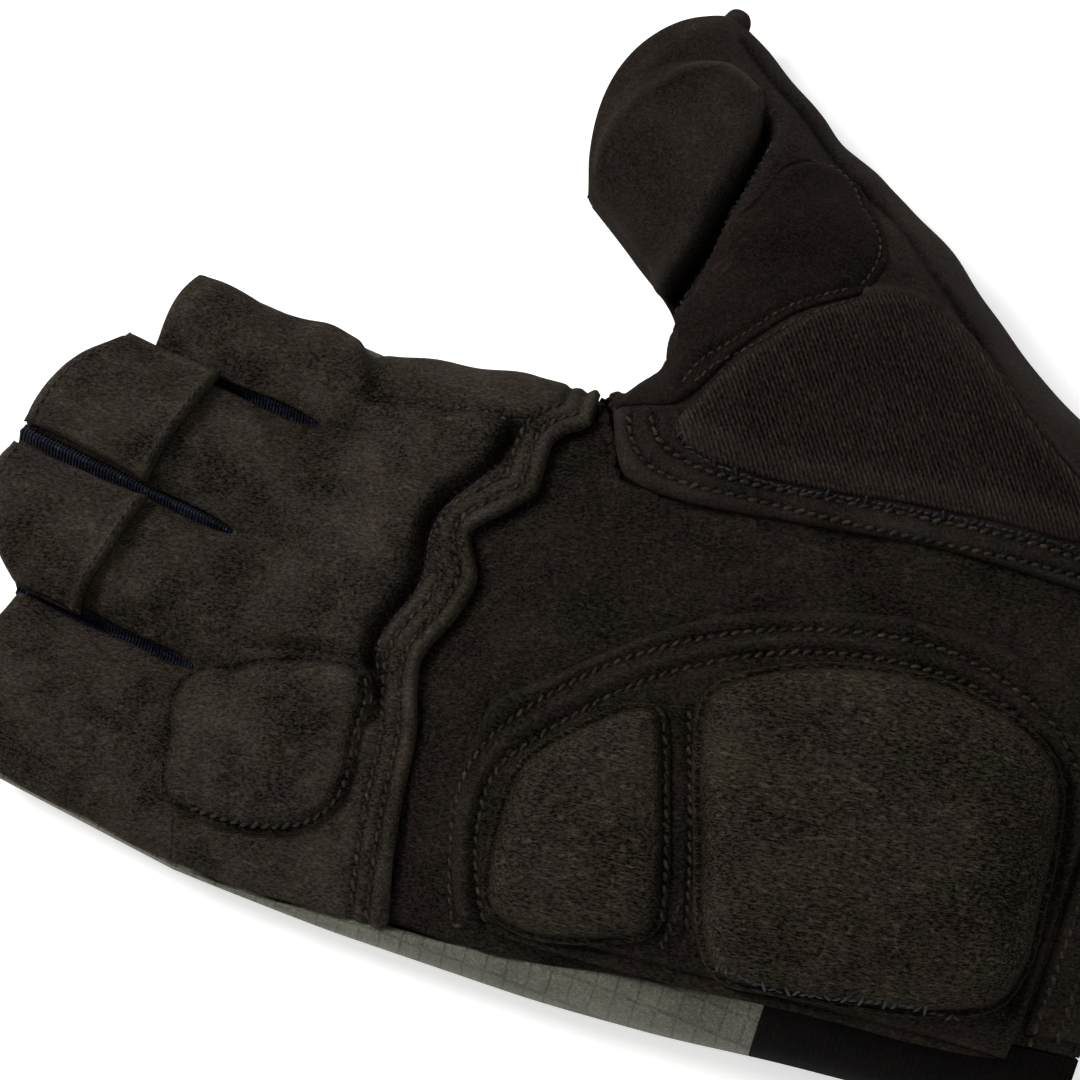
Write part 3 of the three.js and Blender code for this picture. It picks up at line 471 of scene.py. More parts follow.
def addMesh(name, points, quads, material, shade):
    # A last corner of -1 marks a triangle. shade goes into a point attribute of painted light and tone: above
    # 0 a painted highlight, below 0 painted shade, and on stitches their own random tone.
    mesh = bpy.data.meshes.new(name)
    mesh.vertices.add(len(points))
    mesh.vertices.foreach_set("co", (points * 0.001).astype(np.float32).ravel())
    corners = quads[quads >= 0]
    count = (quads >= 0).sum(1)
    mesh.loops.add(len(corners))
    mesh.loops.foreach_set("vertex_index", corners.astype(np.int32))
    mesh.polygons.add(len(quads))
    mesh.polygons.foreach_set("loop_start", (np.cumsum(count) - count).astype(np.int32))
    mesh.polygons.foreach_set("use_smooth", np.ones(len(quads), bool))
    mesh.update(calc_edges=True)
    tone = mesh.attributes.new("paintedLightAndTone", "FLOAT", "POINT")
    tone.data.foreach_set("value", shade.astype(np.float32))
    mesh.materials.append(material)
    obj = bpy.data.objects.new(name, mesh)
    bpy.context.scene.collection.objects.link(obj)
    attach(obj, "root")
    return obj


def linear(hexColour):
    # sRGB hex to linear: a share up to 0.04045 over 12.92, above it ((share + 0.055) / 1.055) to the 2.4.
    parts = [int(hexColour[i:i + 2], 16) / 255 for i in (1, 3, 5)]
    return [p / 12.92 if p <= 0.04045 else ((p + 0.055) / 1.055) ** 2.4 for p in parts] + [1]


def addNode(tree, kind, settings=None, **links):
    # A link is a socket, or a constant for the socket's own value. Names and numbers both pick an input.
    node = tree.nodes.new(kind)
    for key, value in (settings or {}).items():
        setattr(node, key, value)
    for key, value in links.items():
        socket = node.inputs[int(key[1:]) if key[0] == "i" and key[1:].isdigit() else key.replace("_", " ")]
        if isinstance(value, bpy.types.NodeSocket):
            tree.links.new(value, socket)
        else:
            socket.default_value = value
    return node


def spread(tree, value, low, high, top):
    # Maps low to high onto minus top to top, clamped.
    return addNode(tree, "ShaderNodeMapRange", Value=value, i1=low, i2=high, i3=-top, i4=top).outputs[0]


def maths(tree, operation, *values):
    # One sum or product of sockets and numbers.
    return addNode(tree, "ShaderNodeMath", {"operation": operation},
                   **{"i%d" % i: value for i, value in enumerate(values)}).outputs[0]


def noise(tree, place, size, detail, roughness):
    # size is the real size of a speck in millimetres. Object coordinates are metres.
    return addNode(tree, "ShaderNodeTexNoise", Vector=place, Scale=1000 / size, Detail=detail,
                   Roughness=roughness).outputs["Fac"]


def clothMaterial(look):
    # The colour is a mix of two hues with flecks, times a gain: 1 plus the painted light and shade of the
    # point attribute (with the stitches' own tone), cloudy patches, fibres drawn out along the nap, specks
    # and the weave.
    # Noise stays near a half, so its middle range is spread out.
    material = bpy.data.materials.new(look["name"])
    material.use_nodes = True
    tree = material.node_tree
    tree.nodes.clear()
    place = addNode(tree, "ShaderNodeTexCoord").outputs["Object"]
    paintedLightAndTone = addNode(tree, "ShaderNodeAttribute", {"attribute_name": "paintedLightAndTone"}).outputs["Fac"]
    nap = addNode(tree, "ShaderNodeMapping", {"vector_type": "TEXTURE"}, Vector=place,
                  Rotation=(0, 0, look["napTurn"]), Scale=(look["napStretch"], 1, 1)).outputs["Vector"]
    fibre = noise(tree, nap, look["fibre"], 3.0, 0.75)
    speck = noise(tree, place, look["speck"], 2.0, 0.7)
    patch = noise(tree, place, look["patch"], 3.0, 0.55)
    hueNoise = noise(tree, place, look["patch"] * 0.6, 4.0, 0.6)
    # Painted highlights and painted shade from the point attribute, with the stitches' own tone, scaled per
    # cloth.
    light = maths(tree, "MULTIPLY", paintedLightAndTone, look["paintedLightAndToneGain"])
    for value, low, high, top in ((patch, 0.34, 0.66, look["mottle"]), (fibre, 0.41, 0.59, look["grain"]),
                                  (speck, 0.42, 0.58, look["dots"])):
        light = maths(tree, "ADD", light, spread(tree, value, low, high, top))
    height = fibre
    if "weave" in look:
        weave, height = look["weave"](tree, place, fibre)
        light = maths(tree, "ADD", light, weave)
    gain = maths(tree, "MAXIMUM", maths(tree, "ADD", light, 1.0), 0.06)
    share = addNode(tree, "ShaderNodeMapRange", Value=hueNoise, i1=0.4, i2=0.6).outputs[0]
    hue = addNode(tree, "ShaderNodeMix", {"data_type": "RGBA"}, i0=share, i6=linear(look["colour"]),
                  i7=linear(look["colour2"])).outputs[2]
    flecks = addNode(tree, "ShaderNodeMapRange", Value=noise(tree, nap, look["fibre"] * 2.6, 1.0, 0.5),
                     i1=0.56, i2=0.66).outputs[0]
    hue = addNode(tree, "ShaderNodeMix", {"data_type": "RGBA"}, i0=maths(tree, "MULTIPLY", flecks, 0.8),
                  i6=hue, i7=linear(look["fleck"])).outputs[2]
    base = addNode(tree, "ShaderNodeVectorMath", {"operation": "SCALE"}, i0=hue, Scale=gain).outputs[0]
    bump = addNode(tree, "ShaderNodeBump", Strength=look["bump"], Distance=look["depth"] * 0.001,
                   Height=height).outputs[0]
    shader = addNode(tree, "ShaderNodeBsdfPrincipled", Base_Color=base, Roughness=look["roughness"],
                     Normal=bump, Sheen_Weight=look["sheen"], Sheen_Roughness=0.45,
                     Sheen_Tint=linear(look["sheenColour"]))
    shader.inputs["Specular IOR Level"].default_value = look["specular"]
    addNode(tree, "ShaderNodeOutputMaterial", Surface=shader.outputs[0])
    return material


def waves(tree, place, settings):
    # Fine ribs: a sine along one direction, turned by an angle, with a real pitch in millimetres.
    turned = addNode(tree, "ShaderNodeMapping", Vector=place, Rotation=(0, 0, settings["turn"]))
    return addNode(tree, "ShaderNodeTexWave", {"wave_type": "BANDS", "bands_direction": "X"},
                   Vector=turned.outputs["Vector"], Scale=314.16 / settings["pitch"],
                   Distortion=settings["wobble"], Detail=1.0, Detail_Scale=3.0).outputs["Fac"]


def ribWeave(settings):
    # Ribs of a knit, twill or elastic: they are lighter, and raised by a full height to a fibre's 0.35.
    def weave(tree, place, fibre):
        rib = waves(tree, place, settings)
        tone = spread(tree, rib, 0.0, 1.0, settings["tone"])
        return tone, maths(tree, "MULTIPLY_ADD", fibre, 0.35, rib)
    return weave


def ripstopWeave(settings):
    # A square grid of thicker threads: the crests of two sets of waves at right angles.
    def weave(tree, place, fibre):
        warp = waves(tree, place, settings)
        weft = waves(tree, place, {**settings, "turn": settings["turn"] + math.pi / 2})
        both = maths(tree, "MAXIMUM", warp, weft)
        line = addNode(tree, "ShaderNodeMapRange", Value=both, i1=0.93, i2=1.0, i3=0.0, i4=1.0).outputs[0]
        tone = maths(tree, "MULTIPLY", line, settings["tone"])
        return tone, maths(tree, "MULTIPLY_ADD", fibre, 0.6, line)
    return weave


# Lengths of patterns are millimetres. mottle, grain, dots, tone and the gain of painted light and shade are
# shares of the colour. A fibre of nap is about 0.02 mm thick, too fine to show, so it is drawn as tufts of
# 0.22 to 0.3 mm.
suedeLook = {  # microfibre suede, brushed: matt and nearly black, cloudy where the nap lies differently
    "name": "microfibre suede", "colour": "#1b1614", "colour2": "#1a1712", "fleck": "#241e19", "patch": 11,
    "fibre": 0.3, "speck": 0.55, "napTurn": 1.73, "napStretch": 2.2, "mottle": 0.3, "grain": 0.62,
    "dots": 0.24, "paintedLightAndToneGain": 0.6, "bump": 0.9, "depth": 0.3, "roughness": 0.95, "sheen": 0.03,
    "sheenColour": "#a07c5c", "specular": 0.05,
}
looks = {
    "suede": suedeLook,
    # The same suede rubbed up on the pads: longer fibres, which catch a little olive light.
    "padSuede": {**suedeLook, "name": "brushed suede of the heel pads", "colour": "#251f1c",
                 "colour2": "#242119", "fleck": "#322c23", "fibre": 0.26, "napStretch": 3.4, "grain": 0.8,
                 "sheen": 0.05, "sheenColour": "#a89468"},
    # The same suede stretched over the fingers: the palest, in larger clouds.
    "fingerSuede": {**suedeLook, "name": "brushed suede of the fingers", "colour": "#2b2623",
                    "colour2": "#27231c", "fleck": "#332d27", "patch": 9, "mottle": 0.42, "grain": 0.55,
                    "dots": 0.16},
    # A shorter nap on the thumb: smoother, with stronger painted highlights on its edges and painted shade in
    # its folds.
    "thumbSuede": {**suedeLook, "name": "suede of the thumb", "colour": "#211d1a", "colour2": "#1f1a17",
                   "fleck": "#27211e", "grain": 0.4, "dots": 0.16, "napStretch": 1.3, "paintedLightAndToneGain": 0.9},
    # The darkest suede, in the thumb's crook: little nap and little light.
    "thumbDark": {**suedeLook, "name": "darker suede of the thumb", "colour": "#16110f",
                  "colour2": "#15110e", "fleck": "#1c1714", "grain": 0.5, "dots": 0.2, "napStretch": 1.3},
    # Terry with a twill back, woven and brushed: fine slanting ribs 0.64 mm apart under a soft nap.
    "terry": {**suedeLook, "name": "twill terry", "colour": "#1d1816", "colour2": "#1c1715",
              "fleck": "#262019", "fibre": 0.26, "napTurn": 0.62, "napStretch": 3, "mottle": 0.16,
              "grain": 0.6, "depth": 0.35,
              "weave": ribWeave({"turn": 0.95, "pitch": 0.64, "wobble": 1.5, "tone": 0.55})},
    # Ripstop nylon, woven: smooth grey-green with a faint sheen and a grid of darker threads 3.1 mm apart.
    "ripstop": {**suedeLook, "name": "ripstop nylon", "colour": "#5a594d", "colour2": "#4e4e43",
                "fleck": "#64624f", "patch": 16, "fibre": 0.25, "napStretch": 1, "mottle": 0.16,
                "grain": 0.3, "dots": 0.14, "paintedLightAndToneGain": 0.3, "depth": 0.1, "roughness": 0.7, "sheen": 0.05,
                "sheenColour": "#c0c0b0", "specular": 0.35,
                "weave": ripstopWeave({"turn": 0.03, "pitch": 3.1, "wobble": 0.6, "tone": -0.28})},
    # Nylon rib knit: navy ribs 0.5 mm apart across the slits, with a slight shine on each.
    "knit": {**suedeLook, "name": "navy rib knit", "colour": "#14151d", "colour2": "#181a24",
             "fleck": "#2b2f3d", "patch": 6, "fibre": 0.25, "grain": 0.45, "depth": 0.3, "roughness": 0.7,
             "sheen": 0.08, "sheenColour": "#7a7c90",
             "weave": ribWeave({"turn": math.pi / 2, "pitch": 0.5, "wobble": 0.4, "tone": 0.5})},
    # Woven elastic: black and dull, with warp ribs 0.8 mm apart that hardly show.
    "elastic": {**suedeLook, "name": "woven elastic", "colour": "#080605", "colour2": "#070504",
                "fleck": "#0c0908", "patch": 9, "grain": 0.4, "depth": 0.15, "roughness": 0.9, "sheen": 0,
                "specular": 0.06,
                "weave": ribWeave({"turn": math.pi / 2, "pitch": 0.8, "wobble": 0.3, "tone": 0.12})},
    # Polyester thread, twisted: brown, with a dull shine on its round back.
    "thread": {**suedeLook, "name": "polyester thread", "colour": "#292119", "colour2": "#1b1612",
               "fleck": "#363026", "patch": 3, "fibre": 0.22, "grain": 0.35, "depth": 0.1,
               "roughness": 0.7, "specular": 0.15},
    # The overlock's polyester thread: violet black and a little shinier.
    "darkThread": {**suedeLook, "name": "dark violet thread", "colour": "#15111a", "colour2": "#0f1412",
                   "fleck": "#26212c", "patch": 2, "grain": 0.5, "depth": 0.1, "roughness": 0.6,
                   "specular": 0.25},
}
materials = {name: clothMaterial(look) for name, look in looks.items()}
print("materials made")


def relief(points, features):
    # Each feature is (line, height, width): height times e to the minus (distance / width) squared. Ridges
    # get a painted highlight, grooves painted shade.
    height, shade = np.zeros(points.shape[:-1]), np.zeros(points.shape[:-1])
    for name, high, width in features:
        d = distanceTo(points, lineOf(name), 4 * width)[0]
        share = bell(d, width)
        height += high * share
        shade += np.clip(high / 0.6, -1, 1) * share
    return height, shade


lineCache = {}


def lineOf(name, step=1.2):
    # A named line, smoothed once and kept.
    if (name, step) not in lineCache:
        lineCache[name, step] = smoothLine(lines[name], step)
    return lineCache[name, step]


def puff(d, reach, high):
    # A stuffed edge: rises by that height over the reach, like a quarter of a circle.
    return high * rounded(d / reach, 0.5)


def edgeRound(d, reach, high):
    # How far a cut edge is rounded down at a distance in from it: by that height at the edge itself, and
    # back up over the reach like a quarter of a circle.
    return high * (rounded(d / reach, 0.5) - 1)


def palmInside(thickness):
    # The wall's thickness in from the face, but never below the height at which the palm meets the back.
    def under(points, normals):
        below = points - normals * thickness
        below[:, 2] = np.maximum(below[:, 2], edgeHeight)
        return below
    return under


def backInside(thickness):
    # The wall's thickness in from the face, but below where the palm side starts and off the floor.
    def under(points, normals):
        above = points - normals * thickness
        low = points[:, 2] < edgeHeight
        above[low, 2] = np.minimum(above[low, 2], edgeHeight - clearance)
        onFloor = points[:, 2] < 0.3
        above[onFloor, 2] = np.maximum(above[onFloor, 2], 0.9 * thickness)
        above[:, 2] = np.maximum(above[:, 2], 0.1)
        return above
    return under


def plainInside(thickness):
    # The wall's thickness in from the face everywhere.
    return lambda points, normals: points - normals * thickness


def flankShare(along):
    # The share across at which the suede starts. Up to there the back's cloth wraps up.
    flank, radial, ulnar = (readTable(palmSections, c, along) for c in ("flank", "radial", "ulnar"))
    return flank / (radial - ulnar)


def overlayEdge(surface, outline, steps=90):
    # The outline of an overlay in plan, as a closed line.
    across = np.linspace(outline["across"][0], outline["across"][-1], steps)
    low, high = (surface(readTable(outline, c, across), across)[:, :2] for c in ("low", "high"))
    return evenly(np.concatenate([low, high[::-1], low[:1]]), 1.0)


waveShares = np.linspace(0, 1, 150)
waveLine = evenly(palmPoint(readTable(waveEdge, "along", waveShares), waveShares)[:, :2], 0.8)
cell = 0.48  # the side of a mesh's cells


def cells(length):
    # How many cells a length is cut into.
    return max(4, int(length / cell))


def uppermost(trees, x, y, above=60):
    # Where a ray from above first meets one of the surfaces.
    hits = [tree.ray_cast(Vector((x, y, above)) * 0.001, Vector((0, 0, -1))) for tree in trees]
    hits = [h for h in hits if h[0] is not None]
    return max(hits, key=lambda h: h[0].z) if hits else None


def stitchPlan(rows, look, r):
    # The two ends and the middle of each stitch in plan: one a step, turned a little off the line.
    middle, way = [], []
    for row in rows:
        line = (evenly if isinstance(row, np.ndarray) else smoothLine)(row, look["pitch"])
        middle.append((line[1:] + line[:-1]) / 2)
        step = np.diff(line, axis=0)
        way.append(step / np.linalg.norm(step, axis=1, keepdims=True))
    middle, way = np.concatenate(middle), np.concatenate(way)
    turn = look["slant"] + r.normal(0, look["wander"], len(way))
    way = np.stack([way[:, 0] * np.cos(turn) - way[:, 1] * np.sin(turn),
                    way[:, 0] * np.sin(turn) + way[:, 1] * np.cos(turn)], 1)
    half = look["length"] / 2 * r.uniform(0.9, 1.08, len(way))[:, None]
    return [middle - way * half, middle, middle + way * half]


def seated(plan, ground):
    # Start, middle and end of each stitch on the cloth, and the cloth's normal below its middle. A stitch
    # that misses the cloth with any of the three is left out.
    graph = bpy.context.evaluated_depsgraph_get()
    trees = [BVHTree.FromObject(obj, graph) for obj in ground]
    hits = [[uppermost(trees, x, y) for x, y in places] for places in plan]
    hits = [found for found in zip(*hits) if None not in found]
    start, centre, end = (np.array([found[i][0] for found in hits]) * 1000 for i in range(3))
    up = np.array([found[1][1] for found in hits])
    return start, centre, end, up * np.where(up[:, 2:] < 0, -1, 1)


def ropes(start, centre, end, up, look):
    # A capsule from start to end of each stitch. Its spine is bowed by half a sine, enough to clear the
    # cloth at the centre, with its ends sunk in, and it thins to the ends like the root of 1 less the
    # fourth power.
    stations, turns = np.linspace(0, 1, 7), np.linspace(0, math.tau, 6, endpoint=False)
    side = np.cross(up, end - start)
    side /= np.linalg.norm(side, axis=1, keepdims=True)
    bow = np.sin(math.pi * stations)[None, :, None]
    spine = lerp(start[:, None], end[:, None], stations[None, :, None])
    lift = np.maximum(((centre - (start + end) / 2) * up).sum(1), 0)[:, None, None]
    spine = spine + up[:, None] * (bow * (look["lift"] + lift) - look["sink"])
    thick = look["radius"] * np.sqrt(np.clip(1 - (2 * stations - 1) ** 4, 0.06, 1))
    ring = (np.cos(turns)[:, None] * side[:, None, None] + np.sin(turns)[:, None] * up[:, None, None])
    body = spine[:, :, None] + ring * thick[None, :, None, None]
    i = np.arange(body[..., 0].size).reshape(body.shape[:3])
    around = np.roll(i, -1, 2)
    sides = np.stack([i[:, :-1], around[:, :-1], around[:, 1:], i[:, 1:]], -1).reshape(-1, 4)
    caps = [np.stack([i[:, e, j] for j in order], -1) for e, orders in
            ((0, ((3, 2, 1, 0), (5, 4, 3, 0))), (-1, ((0, 1, 2, 3), (0, 3, 4, 5)))) for order in orders]
    return body, np.concatenate([sides, *caps])


def stitches(name, rows, ground, material, look):
    # Rope-like stitches along lines, on the objects in ground, each in a slightly different shade.
    r = np.random.default_rng(3)
    body, quads = ropes(*seated(stitchPlan(rows, look, r), ground), look)
    count, points = len(body), body.reshape(-1, 3)
    tone = np.repeat(r.normal(0, 0.35, count), len(points) // count)
    obj = addMesh(name, points, quads, materials[material], tone)
    print(name, count, "stitches")


foldLook = {"depth": 3.0, "width": 0.95, "lip": 1.0, "farLip": 0.35, "lumps": 0.35}


def thumbShape(at, t):
    # The thumb's surface with the deep fold between its tip and its middle: a narrow bell down and a wide
    # bell up on each side, and painted shade in the fold.
    base = thumbPoint(at, t)
    normal = normalAt(thumbPoint, at, t)
    d, side, run = distanceTo(base, lineOf("fold"), 9)
    start = smoothstep(run, 0, 6)
    narrow = bell(d, foldLook["width"])
    lip = np.where(side < 0, foldLook["lip"] * bell(d - 2.6, 1.9), foldLook["farLip"] * bell(d - 2.6, 1.6))
    dent = start * (lip - foldLook["depth"] * narrow) * smoothstep(t, -0.01, 0.03)
    dent = dent + foldLook["lumps"] * lumps(base, 16, 5) * np.clip(t * 12, 0, 1)
    return base, normal, dent, -1.9 * start * bell(d, 1.0)


def onSeat(points, shade, seat):
    # A sheet whose underside is the seat, point for point in the order that merging gives.
    order = np.unique(np.round(points.reshape(-1, 3), 3), axis=0, return_index=True)[1]
    return closed([(points, shade)], lambda p, n: seat.reshape(-1, 3)[order])


def inPlace(name, made, look):
    # Adds a mesh of points, quads and shades in the place of its CAD node.
    points, quads, shade = made
    obj = addMesh(name, points, quads, materials[look["material"]], shade)
    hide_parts(look["node"])
    print(name, "made with", len(points), "points")
    return obj


def panel(name, grids, under, look):
    # A main sheet: its grids with their undersides and rims.
    return inPlace(name, closed(grids, under, look.get("flip", False)), look)


def overlay(name, surface, outline, look, dent=None):
    # A sheet sewn onto a surface, with a rounded, tucked-in edge and a padded middle. Its height over the
    # surface is the gap, the cloth, the rounding, the padding, its features and its lumps in one sum.
    edge = overlayEdge(surface, outline)
    rows, cols = cells(look["rows"]), cells(look["cols"])
    denser = (1 - np.cos(np.linspace(0, math.pi, cols + 1))) / 2
    w = lerp(outline["across"][0], outline["across"][-1], denser)
    u = np.linspace(0, 1, rows + 1)[:, None]
    along = lerp(readTable(outline, "low", w), readTable(outline, "high", w), u)
    across = np.broadcast_to(w, along.shape)
    base, normal = surface(along, across), normalAt(surface, along, across)
    sink, shade = (np.zeros(along.shape),) * 2
    if dent is not None:
        base, normal, sink, shade = dent(along, across)
    d = distanceTo(base, edge)[0]
    thick = look["thick"]
    soft = min(thick, overlayCloth)
    top = overlayGap * 0.5 + thick + edgeRound(d, soft, soft) * 0.95
    top = top + puff(d - 0.8, look["reach"], look["puff"])
    top = top + look.get("lip", 0) * bell(d - 0.9, 0.55)
    high, tone = relief(base, look.get("features", []))
    top = top + high + look.get("lumps", 0.12) * lumps(base, look.get("lumpSize", 9), look.get("seed", 2))
    # Painted shade of the fold, the features' painted light and shade, and a painted highlight along the
    # edge.
    shade = shade + tone + look.get("edgeLight", 0.5) * bell(d - 0.8, 0.7)
    lift = look.get("lift", 0) * bell(u * look["rows"], 2.2)
    points = base + normal * (top + sink + lift)[..., None]
    seat = base + normal * (sewnGap + sink + lift)[..., None]
    return inPlace(name, onSeat(points, shade, seat), look)


print("tools ready")

# The palm side of the hand, finger by finger.
fingerLook = {"node": "finger_panel", "material": "fingerSuede", "band": 0.45, "bandRows": (2.5, 4.9),
              "valley": 2.6, "valleyWidth": 1.1, "field": 0.9, "fieldAt": 4.5, "fieldWidth": 3.2,
              "groove": 1.3, "grooveWidth": 1.3, "lumps": 0.5, "folds": 0.45,
              "features": [("indexSeam", -0.5, 0.8), ("fieldSeam", -0.35, 0.8), ("notch", -1.3, 1.3)]}


def fingerRelief(base):
    # The stitched band along the wavy edge, with a painted highlight on its rolled edge and painted shade in
    # its stitch grooves, painted shade in the valley behind it and in the groove by the little finger, and
    # the puffed field.
    look = fingerLook
    d = distanceTo(base, waveLine, 16)[0]
    top = edgeRound(d, 1.0, 1.0) + look["band"] * bell(d - 1.2, 0.9)
    shade = 0.5 * bell(d - 1.0, 0.6)
    for row in look["bandRows"]:
        top = top - look["band"] * bell(d - row, 0.6)
        shade = shade - 0.9 * bell(d - row, 0.55)
    dv, sideV, runV = distanceTo(base, lineOf("valley"), 12)
    total = np.linalg.norm(np.diff(lineOf("valley"), axis=0), axis=1).sum()
    deep = look["valley"] * smoothstep(runV, 0, 6) * lerp(1, 0.75, smoothstep(runV, total - 6, total))
    past = (sideV <= 0) & (dv > 0)
    top = top - deep * bell(dv, look["valleyWidth"])
    shade = shade - 1.8 * smoothstep(runV, 0, 5) * bell(dv, 1.4)
    beyond = np.where(past, dv, 0)
    swell = bell(beyond - look["fieldAt"], look["fieldWidth"])
    top = top + look["field"] * swell * past * smoothstep(runV, 0, 5)
    ds, _, runS = distanceTo(base, lineOf("littleSide"), 12)
    top = top - look["groove"] * bell(ds, look["grooveWidth"]) * smoothstep(runS, 2, 12)
    shade = shade - 0.8 * bell(ds, 1.1) * smoothstep(runS, 2, 12)
    high, tone = relief(base, look["features"])
    soft = look["lumps"] * lumps(base, 13, 8) * smoothstep(d, 7, 12)
    return top + high + soft, shade + 0.6 * tone


def fingerSurface(k):
    # Finger k's surface by its two shares alone.
    return lambda s, t: fingerPoint(k, s, t)


def fingerGrids():
    # For each finger a grid from the wavy seam to the crotch line and one from there to the tip. The relief
    # goes along the normal, and the tip's cut edge is rounded by a quarter circle.
    rows = np.linspace(0, 1, cells(34))[:, None]
    grids = []
    for k in range(4):
        start, stop = fingers["start"][k], fingers["stop"][k]
        w = np.linspace(0, 1, cells(24 if k == 0 else 21) + 1)
        first = flankShare(readTable(crotchLine, "along", 0.0)) if k == 0 else start
        across = lerp(first, stop, w)
        low, high = readTable(waveEdge, "along", across), readTable(crotchLine, "along", across)
        along = lerp(low, high, rows)
        left = flankShare(lerp(low[0], high[0], rows)) if k == 0 else start
        across = lerp(left, stop, w) * np.ones_like(along)
        base, normal = palmPoint(along, across), normalAt(palmPoint, along, across)
        top, shade = fingerRelief(base)
        grids.append((base + normal * top[..., None], shade))
        t = lerp(first / stop if k == 0 else 0, 1, w) * np.ones((len(rows), 1))
        surface = fingerSurface(k)
        s = rows * np.ones_like(t)
        base, normal = surface(s, t), normalAt(surface, np.clip(s, 0.002, 1), np.clip(t, 0.002, 0.998))
        crotch = lerp(start, stop, t)
        palmNormal = normalAt(palmPoint, readTable(crotchLine, "along", crotch), crotch)
        normal = lerp(palmNormal, normal, smoothstep(s, 0, 0.2)[..., None])
        normal = normal / np.linalg.norm(normal, axis=-1, keepdims=True)
        top, shade = fingerRelief(base)
        toTip = (1 - s) * fingerLength
        folds = fingerLook["folds"] * lumps(base, 7, 20 + k) * np.clip(4 * t * (1 - t) * 3, 0, 1)
        top = top + (folds + edgeRound(toTip, 1.2, 0.8)) * smoothstep(s, 0, 0.2)
        # A painted highlight along the tip's rounded edge.
        shade = shade + 0.5 * bell(toTip - 0.9, 0.6)
        grids.append((base + normal * top[..., None], shade))
    return grids


fingerPanel = panel("fingerPanel", fingerGrids(), palmInside(suede), fingerLook)
palmLook = {"node": "palm_panel", "material": "suede", "lap": 3, "lapAtThumb": 0.9, "web": 3,
            "webAt": 0.672, "webWidth": 0.022, "lumps": 0.35, "heelRise": 0.5, "heelAt": 6,
            "heelWidth": 4}


def palmDip(along, across):
    # How far the palm's sheet runs down to pass under the finger panel.
    past = (along - readTable(waveEdge, "along", across)) * palmLength
    return lapLift * smoothstep(past, -12, -clearance)


def palmGrid():
    # From the wrist's hem to a lap under the finger panel. At the fork the sheet reaches out as a web, by a
    # bell along the edge.
    rows, cols = cells(105), cells(84)
    u = np.linspace(0, 1, rows + 1)[:, None]
    w = np.linspace(0, 1, cols + 1)
    share = 1 - w
    lap = lerp(palmLook["lapAtThumb"], palmLook["lap"], smoothstep(share, 0.07, 0.17))
    along = (1 - (1 - u) ** 1.15) * (readTable(waveEdge, "along", w) + lap / palmLength)
    drop = readTable(palmSections, "drop", along)
    width = (readTable(palmSections, "radial", along) - readTable(palmSections, "ulnar", along)) * palmWidth
    web = palmLook["web"] * bell(along - palmLook["webAt"], palmLook["webWidth"])
    stop = 1 + (3 * (1 - drop) ** 60 + web - clearance) / width
    across = lerp(flankShare(along), stop, w)
    base, normal = palmPoint(along, across), normalAt(palmPoint, along, across)
    top = -palmDip(along, across) + palmLook["lumps"] * lumps(base, 22, 4)
    d = distanceTo(base, waveLine, 8)[0]
    # Painted shadow on the palm along the finger panel's overlapping edge.
    shade = -0.9 * bell(d, 1.0)
    dh = distanceTo(base, lineOf("heelOut"), 12)[0]
    rise = palmLook["heelRise"] * bell(dh - palmLook["heelAt"], palmLook["heelWidth"])
    top = top + rise * (along > 0.2)
    return base + normal * top[..., None], shade


palmPanel = panel("palmPanel", [palmGrid()], palmInside(suede), palmLook)
thumbLook = {"node": "thumb_panel", "material": "thumbSuede", "width": 35,
             "length": 60, "rows": ("bandRow", "bandRow2"), "rowDepth": 0.4,
             "features": [("thumbEdge", -0.5, 0.7), ("ridgeOut", 1.1, 0.55)]}


def thumbGrid():
    # The folded surface with its two sewn rows in painted shade, and the rounded edges at the palm's seam and
    # the opening with painted highlights.
    u = np.linspace(0, 1, cells(118) + 1)[:, None]
    w = (1 - np.cos(np.linspace(0, math.pi, cells(40) + 1))) / 2
    at, t = u * np.ones_like(w), w * np.ones_like(u)
    base, normal, dent, shade = thumbShape(at, t)
    edge = thumbLook["width"] * t  # about how far in from the inner edge
    lapped = 1 - readTable(thumbSections, "closed", at)
    top = edgeRound(edge, 1.0, 1.0) * lapped
    for row in thumbLook["rows"]:
        d = distanceTo(base, lineOf(row), 4)[0]
        top = top - thumbLook["rowDepth"] * bell(d, 0.6)
        shade = shade - 0.9 * bell(d, 0.55)
    top = top + 0.3 * bell(edge - 1.2, 0.9) * lapped
    high, tone = relief(base, thumbLook["features"])
    shade = shade + tone + 0.4 * bell(edge - 1.0, 0.7) * lapped
    toOpening = (1 - at) * thumbLook["length"]
    top = top + high + edgeRound(toOpening, 1.2, 0.8)
    shade = shade + 0.6 * bell(toOpening - 0.9, 0.6)
    return base + normal * (top + dent)[..., None], shade


